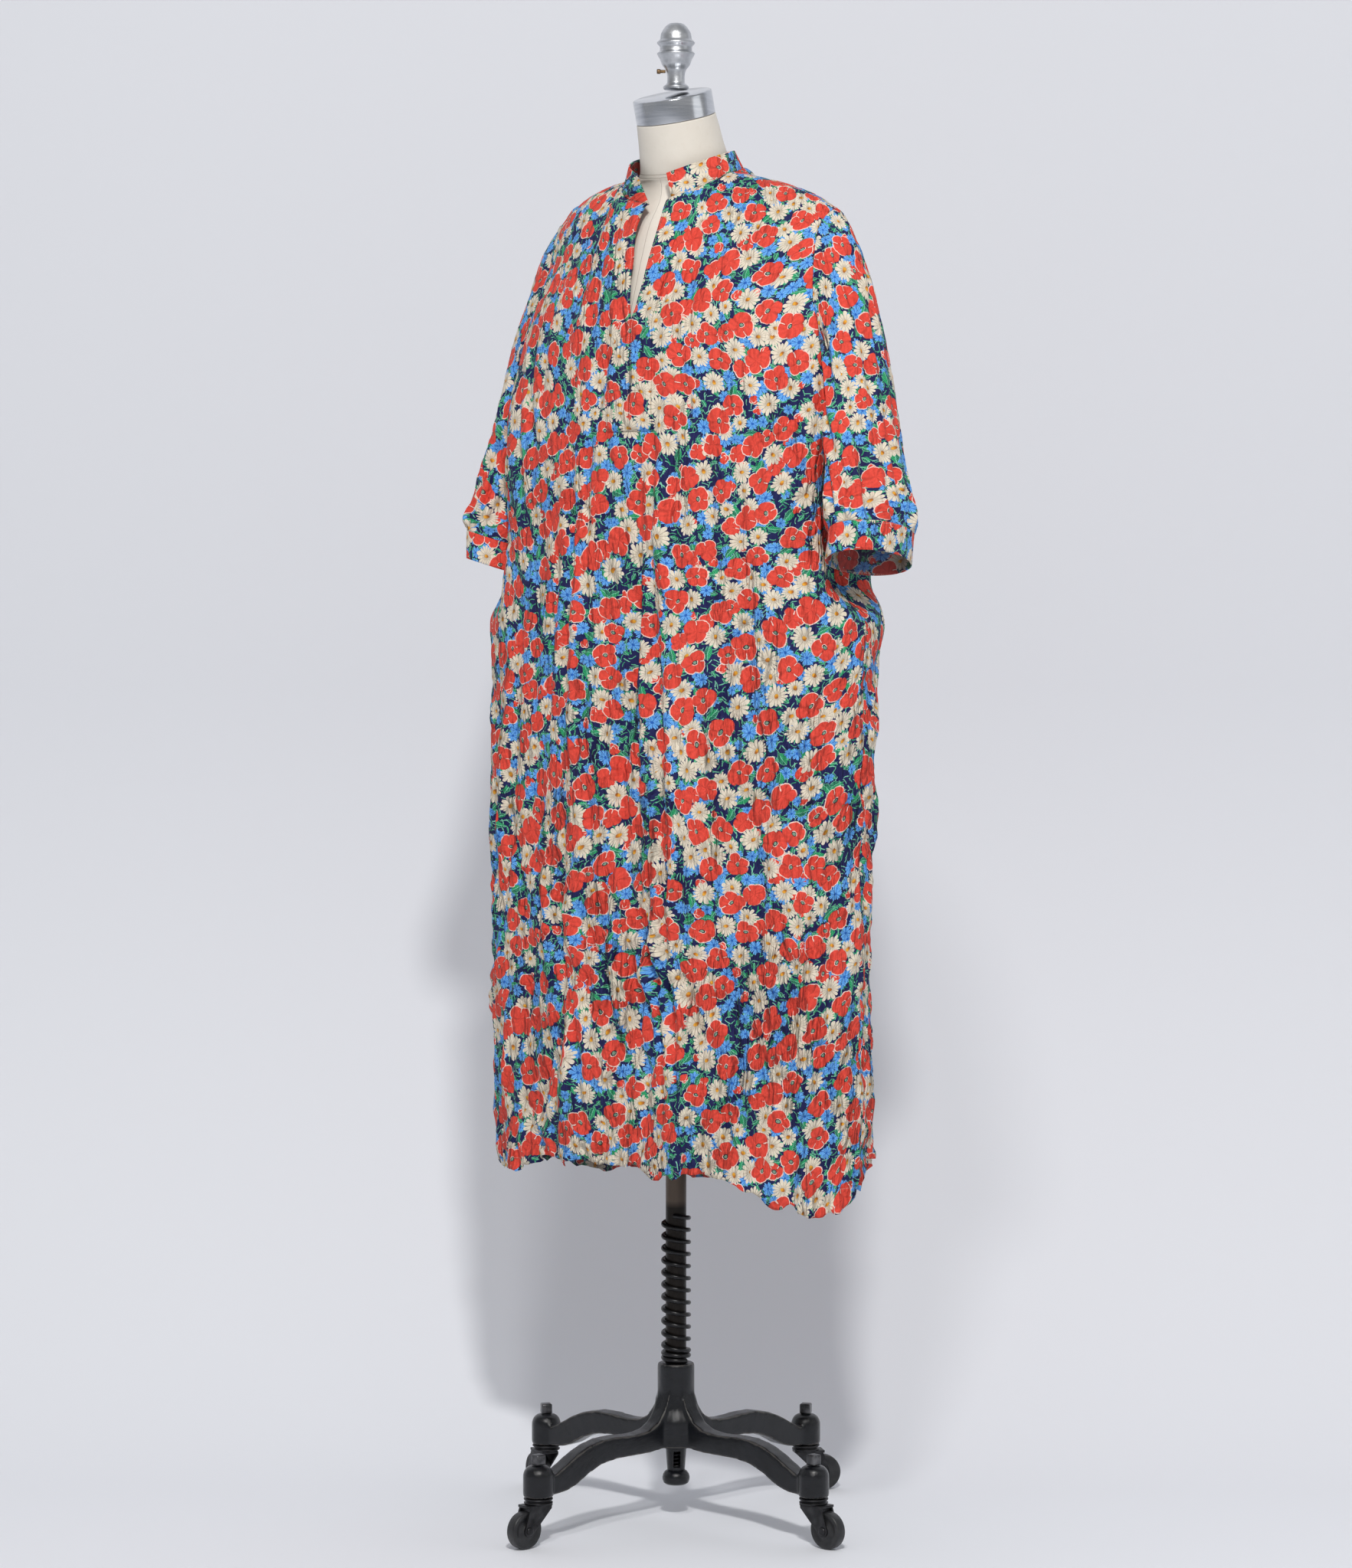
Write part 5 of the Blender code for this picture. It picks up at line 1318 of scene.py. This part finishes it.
class DRESS_OT_stage(bpy.types.Operator):
    """Lay the floor and backdrop, set the lights and the camera"""

    bl_idname = "dress.stage"
    bl_label = "Stage"

    def execute(self, context):
        profile = [(9.0, 0.0), (6.0, 0.0), (3.0, 0.0), (1.0, 0.0), (WALL_BACK + CURVE, 0.0)]
        for step in range(1, CURVE_STEPS + 1):
            turn = math.pi / 2 * step / CURVE_STEPS
            profile.append((WALL_BACK + CURVE - CURVE * math.sin(turn), CURVE - CURVE * math.cos(turn)))
        profile += [(WALL_BACK, 2.0), (WALL_BACK, 6.0)]
        points, faces = [], []
        for toward, up in profile:
            points += [from_camera(side, toward, up - 0.0002) for side in (-HALF_STAGE, HALF_STAGE)]
        for n in range(len(profile) - 1):
            faces.append((2 * n, 2 * n + 1, 2 * n + 3, 2 * n + 2))
        mesh = bpy.data.meshes.new("studio_sweep")
        mesh.from_pydata(points, [], faces)
        smooth_faces(mesh)
        mesh.materials.append(stage_material())
        sweep = new_object("studio_sweep", mesh)

        world = context.scene.world or bpy.data.worlds.new("Studio")
        context.scene.world = world
        world.use_nodes = True
        air = world.node_tree.nodes["Background"]
        air.inputs["Color"].default_value = colour(252, 253, 255)
        air.inputs["Strength"].default_value = settings().fill_light

        for name, place, size, share, tint in LIGHTS:
            area_light(name, place, size, settings().key_light * share, tint)

        lens = bpy.data.cameras.new("camera")
        lens.sensor_fit = "AUTO"
        lens.sensor_width = 36.0
        lens.lens = 103.09
        lens.shift_y = -0.115
        lens.clip_end = 60.0
        camera = new_object("camera", lens)
        camera.location = from_camera(0.0, CAMERA_FAR, CAMERA_HEIGHT)
        camera.rotation_euler = (math.radians(90.0 - CAMERA_DIP), 0.0, math.radians(CAMERA_TURN))
        context.scene.camera = camera
        context.scene.view_settings.view_transform = "Standard"
        return {"FINISHED"}


# ---------------------------------------------------------------- the dress
# How far the stitches run from the edge of each kind of piece.
BAND_STITCHES = 0.0022
HEM_STITCHES = 0.009
PLACKET_STITCHES = 0.0020
NO_STITCHES = 0.5
PLACKET_LIFT = 0.0016


def sew(name, grids, finishes):
    """One cloth piece, which stands for its node of the imported model and moves with its body."""
    kind = name.split("_")[0]
    thickness = CLOTH_THICKNESS if kind in ("front", "back", "sleeve") else BAND_THICKNESS
    made = cloth_object(name + "_cloth", grids, thickness, finishes)
    stand_for(made, name)
    return made


def edge_map(made):
    """A second UV map for the stitches, with each corner's flat measures and its place."""
    mesh = made.data
    layer = mesh.uv_layers.new(name="edges")
    flat = read_all(mesh.uv_layers["cloth"].data, "uv", 2)
    corner = read_all(mesh.loops, "vertex_index", kind=np.int32)
    return layer, flat, read_all(mesh.vertices, "co", 3)[corner]


class DRESS_OT_cloth(bpy.types.Operator):
    """Make the front, back, sleeves, cuffs, collar and plackets of the dress"""

    bl_idname = "dress.cloth"
    bl_label = "Dress cloth"

    def execute(self, context):
        finishes = [cloth_material("printed_cotton"),
                    cloth_material("printed_cotton_reverse_shaded", reverse=True)]
        grids, left, right = dress_grids()
        for grid in grids:
            grid.points = round_shoulders(grid.points)
        weld_normals(grids)
        for grid in grids:
            grid.base = grid.points
        crumple(grids)
        close_seams(grids)
        for name in dict.fromkeys(grid.piece for grid in grids):
            made = sew(name, [grid for grid in grids if grid.piece == name], finishes)
            self.stitch_edges(made, name)
        self.make_placket("placket_left", grids[0], left, 1, finishes)
        self.make_placket("placket_right", grids[1], right, -1, finishes)
        return {"FINISHED"}

    def stitch_edges(self, made, name):
        """Stitches run inside both edges of a band, and above the hem."""
        layer, flat, places = edge_map(made)
        along = flat[:, 1]
        if name.startswith(("cuff", "collar")):
            away = np.minimum(along - along.min(), along.max() - along) - BAND_STITCHES
        elif name in ("front", "back"):
            turn = np.degrees(np.arctan2(places[:, 0], BODY_Y - places[:, 1]))
            away = places[:, 2] - hem_height(turn) - HEM_STITCHES
        else:
            away = NO_STITCHES
        flat[:, 1] = np.minimum(away, NO_STITCHES)
        layer.data.foreach_set("uv", flat.ravel())

    def make_placket(self, name, grid, columns, side, finishes):
        """A strip over one edge of the slit; its print runs on from the front's."""
        within = np.abs(columns - SLIT_ANGLE) <= PLACKET_ANGLE + 1e-6
        part = (grid.points + grid.normals * PLACKET_LIFT)[SKIRT_ROWS:][:, within]
        inward = lengths_along(part, 1)
        if side < 0:
            inward = inward[:, -1:] - inward
        made = sew(name, [Grid(name, part, inward, lengths_along(part, 0))], finishes)
        layer, flat, _ = edge_map(made)
        from_slit, run = flat.T
        away = np.minimum(from_slit, from_slit.max() - from_slit) - PLACKET_STITCHES
        print_map = np.stack([from_slit * side, run], -1)
        made.data.uv_layers["cloth"].data.foreach_set("uv", print_map.ravel())
        layer.data.foreach_set("uv", np.stack([run, np.minimum(away, NO_STITCHES)], -1).ravel())


# ---------------------------------------------------------------- form, metal and casting
def grid_mesh(name, rows, finish, capped=False):
    """A mesh from closed rings of points, with open or capped ends."""
    rows = np.array(rows)
    ids = np.arange(rows[..., 0].size).reshape(rows.shape[:2])
    ahead = np.roll(ids, -1, axis=1)
    faces = np.stack([ids[:-1], ahead[:-1], ahead[1:], ids[1:]], -1).reshape(-1, 4).tolist()
    if capped:
        faces += [ids[0][::-1].tolist(), ids[-1].tolist()]
    mesh = bpy.data.meshes.new(name)
    mesh.from_pydata(rows.reshape(-1, 3).tolist(), [], faces)
    mesh.update()
    smooth_faces(mesh)
    mesh.materials.append(finish)
    return new_object(name, mesh)


def mirrored(profile):
    """The upper half of a turned part's profile, and then its mirror image."""
    return profile + [(radius, -height) for radius, height in profile[::-1]]


def lathe(name, profile, finish, place=None, sides=96, hard_edges=30.0):
    """A turned part from radius and height, with its hard edges softened."""
    rings = []
    turn = math.tau * np.arange(sides) / sides
    for radius, height in profile:
        radius = max(radius, 0.00002)
        rings.append(np.stack([radius * np.cos(turn), radius * np.sin(turn), 0 * turn + height], -1))
    made = grid_mesh(name, rings, finish)
    with cage_of(made.data) as cage:
        bmesh.ops.holes_fill(cage, edges=[edge for edge in cage.edges if edge.is_boundary], sides=0)
        bmesh.ops.recalc_face_normals(cage, faces=cage.faces)
    if place is not None:
        made.data.transform(place)
    soften(made, hard_edges)
    return made


def soften(made, angle=30.0, width=0.0005):
    bevel = made.modifiers.new("Soft edges", "BEVEL")
    bevel.width = width
    bevel.segments = 2
    bevel.limit_method = "ANGLE"
    bevel.angle_limit = math.radians(angle)
    bevel.harden_normals = False
    smooth_faces(made.data)


def stand_for(made, node):
    """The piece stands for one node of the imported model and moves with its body."""
    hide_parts(node)
    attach(made, NODES[node]["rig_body"])


def form_rows(count=112, levels=150):
    heights = [row[0] for row in FORM_RINGS]
    fine = np.unique(np.concatenate([np.linspace(heights[0], 1.43, levels // 2),
                                     np.linspace(1.43, heights[-1], levels // 2)]))
    y, half_width, front, back, exponent, lean = smooth_read(FORM_RINGS, fine)
    turn = math.tau * np.arange(count) / count
    across, along = np.sin(turn), -np.cos(turn)
    rows = []
    for n, height in enumerate(fine):
        power = 2.0 / exponent[n]
        depth = np.where(along < 0, front[n], back[n])
        x = half_width[n] * np.sign(across) * np.abs(across) ** power
        out = depth * np.sign(along) * np.abs(along) ** power
        tilt = NECK_LEAN * lean[n]
        under = 1.0 - 0.010 * ease((1.49 - height) / 0.02)
        rows.append(np.stack([x * under, y[n] + out * under * math.cos(tilt),
                              height + out * math.sin(tilt)], -1))
    return rows


class DRESS_OT_form(bpy.types.Operator):
    """Make the canvas-covered form that wears the dress"""

    bl_idname = "dress.form"
    bl_label = "Dress form"

    def execute(self, context):
        made = grid_mesh("form_canvas", form_rows(), canvas_material(), capped=True)
        soften(made, 50.0, 0.0012)
        stand_for(made, "form_torso")
        return {"FINISHED"}


class DRESS_OT_neck_metal(bpy.types.Operator):
    """Make the polished neck cap, the finial and its set screw"""

    bl_idname = "dress.neck_metal"
    bl_label = "Neck cap and finial"

    def execute(self, context):
        polished = metal_material("polished_nickel", (214, 216, 220), (188, 192, 198),
                                  (0.10, 0.22), 0.03, brushed=14.0, pits=0.12)
        silver = metal_material("cast_silver", (214, 216, 219), (176, 179, 183),
                                (0.26, 0.46), 0.014, pits=0.9)
        brass = metal_material("dull_brass", (150, 120, 84), (88, 74, 60),
                               (0.35, 0.6), 0.006)
        tilt = Matrix.Translation(CAP_CENTRE) @ Matrix.Rotation(NECK_LEAN, 4, "X")
        profile = [(0.0, CAP_HEIGHT), (0.012, CAP_HEIGHT), (CAP_RADIUS - 0.0022, CAP_HEIGHT),
                   (CAP_RADIUS - 0.0010, CAP_HEIGHT - 0.0003), (CAP_RADIUS - 0.0003, CAP_HEIGHT - 0.0010),
                   (CAP_RADIUS, CAP_HEIGHT - 0.0022), (CAP_RADIUS, 0.0012), (CAP_RADIUS, GAP), (0.0, GAP)]
        cap = lathe("neck_cap_metal", profile, polished, tilt, 160)
        stand_for(cap, "neck_cap")
        table = [(n, *pair) for n, pair in enumerate(FINIAL_PROFILE)]
        last = len(table) - 1
        radius, height = smooth_read(table, np.linspace(0, last, last * 5 + 1))
        finial = lathe("finial_cast", list(zip(radius, height)), silver, None, 96, 75.0)
        stand_for(finial, "finial")
        side = math.radians(FINIAL_SCREW_TURN)
        out = Vector((-math.cos(side), -math.sin(side), 0.0))
        place = (Matrix.Translation(out * 0.0116 + Vector((0.0, 0.0, FINIAL_SCREW_Z)))
                 @ out.to_track_quat("Z", "Y").to_matrix().to_4x4())
        screw = lathe("finial_set_screw", [(0.0, 0.0098), (0.0021, 0.0098), (0.0027, 0.0092),
                                           (0.0027, 0.0058), (0.0018, 0.0056), (0.0018, 0.0),
                                           (0.0, 0.0)], brass, place, 32)
        stand_for(screw, "finial_screw")
        return {"FINISHED"}


def spring_object(name, wire, points, finish):
    """A coil of round wire along these points."""
    curve = bpy.data.curves.new(name, "CURVE")
    curve.dimensions = "3D"
    curve.bevel_depth = wire
    curve.bevel_resolution = 4
    curve.use_fill_caps = True
    spline = curve.splines.new("POLY")
    spline.points.add(len(points) - 1)
    for point, place in zip(spline.points, points):
        point.co = (*place, 1.0)
    curve.materials.append(finish)
    holder = new_object(name + "_curve", curve)
    mesh = evaluated_mesh(holder)
    bpy.data.objects.remove(holder, do_unlink=True)
    smooth_faces(mesh)
    return new_object(name, mesh)


class DRESS_OT_stand(bpy.types.Operator):
    """Make the post, its springs and the cast base"""

    bl_idname = "dress.stand"
    bl_label = "Post and base"

    def execute(self, context):
        iron = metal_material("worn_steel", (96, 84, 74), (58, 50, 45), (0.34, 0.52),
                              0.03, brushed=0.12, metallic=0.75, greased_below=0.350)
        blackened = metal_material("blackened_steel", (30, 30, 32), (17, 17, 19),
                                   (0.22, 0.40), 0.01, metallic=0.35)
        dark = metal_material("dark_steel", (84, 84, 86), (48, 48, 50), (0.30, 0.50),
                              0.01, metallic=0.85)
        enamel = enamel_material()
        post = lathe("post_steel", [(0.0, FORM_FLOOR_Z - 0.0003), (POST_RADIUS, FORM_FLOOR_Z - 0.0003),
                                    (POST_RADIUS, 0.60), (POST_RADIUS, 0.45), (POST_RADIUS, 0.30),
                                    (POST_RADIUS, POST_FOOT_Z), (0.0, POST_FOOT_Z)], iron)
        stand_for(post, "post")
        bore = POST_RADIUS + GAP
        socket = lathe("form_socket_steel", [
            (bore, FORM_FLOOR_Z - GAP), (0.045, FORM_FLOOR_Z - GAP), (0.045, FORM_FLOOR_Z - 0.005),
            (0.020, FORM_FLOOR_Z - 0.008), (0.020, FORM_FLOOR_Z - 0.036),
            (bore, FORM_FLOOR_Z - 0.036), (bore, FORM_FLOOR_Z - GAP)], dark)
        stand_for(socket, "form_socket")
        self.make_buffer_spring(blackened)
        self.make_lower_boss(enamel, blackened)
        self.make_casting(enamel)
        return {"FINISHED"}

    def make_buffer_spring(self, finish):
        points = []
        around = 28
        height = HUB_TOP_Z + GAP + SPRING_WIRE
        for n in range(int((SPRING_CLOSED_TURNS + SPRING_TURNS) * around) + 1):
            turn = -math.tau * n / around
            points.append((SPRING_RADIUS * math.cos(turn), SPRING_RADIUS * math.sin(turn), height))
            closed = n < SPRING_CLOSED_TURNS * around
            height += (2.2 * SPRING_WIRE if closed else SPRING_PITCH) / around
        made = spring_object("buffer_spring_coil", SPRING_WIRE, points, finish)
        stand_for(made, "buffer_spring")

    def make_lower_boss(self, enamel, steel):
        floor = 0.0530
        points = []
        for n in range(5 * 24 + 1):
            turn = math.tau * n / 24
            points.append((0.0060 * math.cos(turn), 0.0060 * math.sin(turn),
                           floor + 0.0012 + 0.0042 * n / 24))
        made = spring_object("lower_spring_coil", 0.0011, points, steel)
        stand_for(made, "lower_spring")
        foot = lathe("lower_foot_knob", [
            (0.0, floor - GAP), (0.0105, floor - GAP), (0.0126, 0.0512), (0.0143, 0.0487), (0.0153, 0.0450),
            (0.0150, 0.0420), (0.0138, 0.0390), (0.0112, 0.0372), (0.0, 0.0368)], enamel)
        stand_for(foot, "lower_foot")
        sleeve = refined("lower_sleeve", "lower_sleeve_casting", enamel, 0.0006)
        stand_for(sleeve, "lower_sleeve")

    def make_casting(self, enamel):
        """The casting keeps its shape; its edges are rounded as poured iron is."""
        made = refined("base_casting", "base_casting_iron", enamel)
        remesh = made.modifiers.new("Cast surface", "REMESH")
        remesh.mode = "VOXEL"
        remesh.voxel_size = 0.0015
        remesh.use_smooth_shade = True
        apply_modifiers(made)
        before = read_all(made.data.vertices, "co", 3)
        smooth = made.modifiers.new("Rounding", "SMOOTH")
        smooth.factor = 0.5
        smooth.iterations = 14
        apply_modifiers(made)
        lost = before - read_all(made.data.vertices, "co", 3)
        raised = (lost * read_all(made.data.vertices, "normal", 3)).sum(-1) / 0.0006
        layer = made.data.attributes.new("raised", "FLOAT", "POINT")
        layer.data.foreach_set("value", np.clip(raised, 0.0, 1.0).astype(np.float32))
        smooth_faces(made.data)
        stand_for(made, "base_casting")


def apply_modifiers(made):
    mesh = evaluated_mesh(made)
    made.modifiers.clear()
    made.data = mesh


def refined(node, name, finish, width=None):
    """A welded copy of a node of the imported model, with its edges softened by this width."""
    mesh = NODES[node].data.copy()
    mesh.name = name
    with cage_of(mesh) as cage:
        bmesh.ops.remove_doubles(cage, verts=cage.verts, dist=0.00001)
        bmesh.ops.dissolve_limit(cage, angle_limit=math.radians(1.0), verts=cage.verts, edges=cage.edges)
    mesh.materials.clear()
    mesh.materials.append(finish)
    made = new_object(name, mesh)
    if width:
        soften(made, 32.0, width)
    return made


class DRESS_OT_casters(bpy.types.Operator):
    """Make the four swivel casters and the bolts over them"""

    bl_idname = "dress.casters"
    bl_label = "Casters"

    def execute(self, context):
        dark = metal_material("caster_steel", (66, 66, 68), (36, 36, 38), (0.28, 0.50),
                              0.008, metallic=0.8)
        bolt = metal_material("bolt_steel", (110, 110, 112), (60, 60, 62), (0.22, 0.42),
                              0.006, metallic=0.9)
        rubber = rubber_material()
        for leg, name, trail_turn in CASTERS:
            made = refined("stem_bolt_" + name, "stem_bolt_steel_" + name, bolt, 0.0004)
            stand_for(made, "stem_bolt_" + name)
            turn = BASE_TURN + leg * math.pi / 2
            swivel = (Matrix.Translation((STEM_REACH * math.cos(turn), STEM_REACH * math.sin(turn), 0.0))
                      @ Matrix.Rotation(turn + math.radians(trail_turn), 4, "Z"))
            self.make_caster(name, swivel, dark, rubber)
        return {"FINISHED"}

    def make_caster(self, name, swivel, steel, rubber):
        top = SOCKET_FLOOR_Z - 2 * GAP
        race = lathe("caster_race_steel_" + name, [
            (0.0, top), (0.0158, top), (0.0158, top - 0.0016), (0.0136, top - 0.0026),
            (0.0136, top - 0.0036), (0.0160, top - 0.0046), (0.0152, 0.0466), (0.0, 0.0466)],
            steel, swivel, 64)
        stand_for(race, "caster_race_" + name)
        fork = refined("caster_fork_" + name, "caster_fork_steel_" + name, steel, 0.0006)
        stand_for(fork, "caster_fork_" + name)
        lying = (swivel @ Matrix.Translation((CASTER_TRAIL, 0.0, WHEEL_RADIUS))
                 @ Matrix.Rotation(math.pi / 2, 4, "X"))
        half, bore = WHEEL_WIDTH / 2, AXLE_RADIUS + GAP
        rim = WHEEL_RADIUS
        side = mirrored([
            (bore, half + 0.0008), (0.0062, half + 0.0008), (0.0068, half + 0.0002), (0.0110, half - 0.0014),
            (0.0132, half - 0.0012), (0.0150, half - 0.0002), (rim - 0.0018, half),
            (rim - 0.0005, half - 0.0008), (rim, half - 0.0022)])
        wheel = lathe("caster_wheel_rubber_" + name, side + side[:1], rubber, lying, 72)
        stand_for(wheel, "caster_wheel_" + name)
        head = FORK_INSIDE + FORK_WALL + GAP
        axle = lathe("caster_axle_steel_" + name, mirrored([
            (0.0, head + 0.0014), (0.0034, head + 0.0014), (0.0044, head + 0.0007), (0.0046, head),
            (AXLE_RADIUS, head)]), steel, lying, 32)
        stand_for(axle, "caster_axle_" + name)


# ---------------------------------------------------------------- settings, panel and run
def colour_setting(name, description, red, green, blue):
    return FloatVectorProperty(name=name, description=description, subtype="COLOR", size=4,
                               min=0.0, max=1.0, default=colour(red, green, blue))


class ShirtDressSettings(bpy.types.PropertyGroup):
    """Sizes and colours that a user would change"""

    print_size: FloatProperty(name="Print size", description="Size of the flowers against their usual size",
                              default=1.0, min=0.2, max=4.0, subtype="FACTOR")
    creases: FloatProperty(name="Creases", description="How deep the long creases are",
                           default=1.65, min=0.0, max=2.0, subtype="FACTOR")
    crinkle: FloatProperty(name="Crinkle", description="How crinkled the cotton is",
                           default=1.5, min=0.0, max=3.0, subtype="FACTOR")
    key_light: FloatProperty(name="Key light", description="Power of the main light in watts",
                             default=109.0, min=0.0, unit="POWER")
    fill_light: FloatProperty(name="Fill light", description="Strength of the pale room round the object",
                              default=0.385, min=0.0)
    ground_colour: colour_setting("Ground", "Colour of the print's ground", 34, 37, 84)
    poppy_colour: colour_setting("Poppy", "Colour of the poppies", 226, 76, 62)
    daisy_colour: colour_setting("Daisy", "Colour of the daisies", 228, 217, 197)
    cornflower_colour: colour_setting("Cornflower", "Colour of the cornflowers", 62, 142, 222)
    leaf_colour: colour_setting("Leaf", "Colour of the leaves", 20, 146, 88)
    paper_colour: colour_setting("Backdrop", "Colour of the studio paper", 224, 226, 231)


class DRESS_PT_panel(bpy.types.Panel):
    """Lists the steps that build the dress, its form and its stand"""

    bl_idname = "DRESS_PT_panel"
    bl_label = "Shirt Dress"
    bl_space_type = "VIEW_3D"
    bl_region_type = "UI"
    bl_category = "Shirt Dress"

    def draw(self, context):
        layout = self.layout
        for name in ShirtDressSettings.__annotations__:
            layout.prop(context.scene.shirt_dress, name)
        for step in STEPS:
            layout.operator(step.bl_idname)


STEPS = (DRESS_OT_stage, DRESS_OT_cloth, DRESS_OT_form, DRESS_OT_neck_metal, DRESS_OT_stand,
         DRESS_OT_casters)
CLASSES = (ShirtDressSettings, *STEPS, DRESS_PT_panel)


def register():
    for made in CLASSES:
        bpy.utils.register_class(made)
    bpy.types.Scene.shirt_dress = PointerProperty(type=ShirtDressSettings)


def unregister():
    del bpy.types.Scene.shirt_dress
    for made in reversed(CLASSES):
        bpy.utils.unregister_class(made)


def main():
    register()
    build_print()
    build_crinkle()
    build_stitches()
    build_wear()
    bpy.ops.dress.stage()
    bpy.ops.dress.cloth()
    bpy.ops.dress.form()
    bpy.ops.dress.neck_metal()
    bpy.ops.dress.stand()
    bpy.ops.dress.casters()


if __name__ == "__main__":
    main()
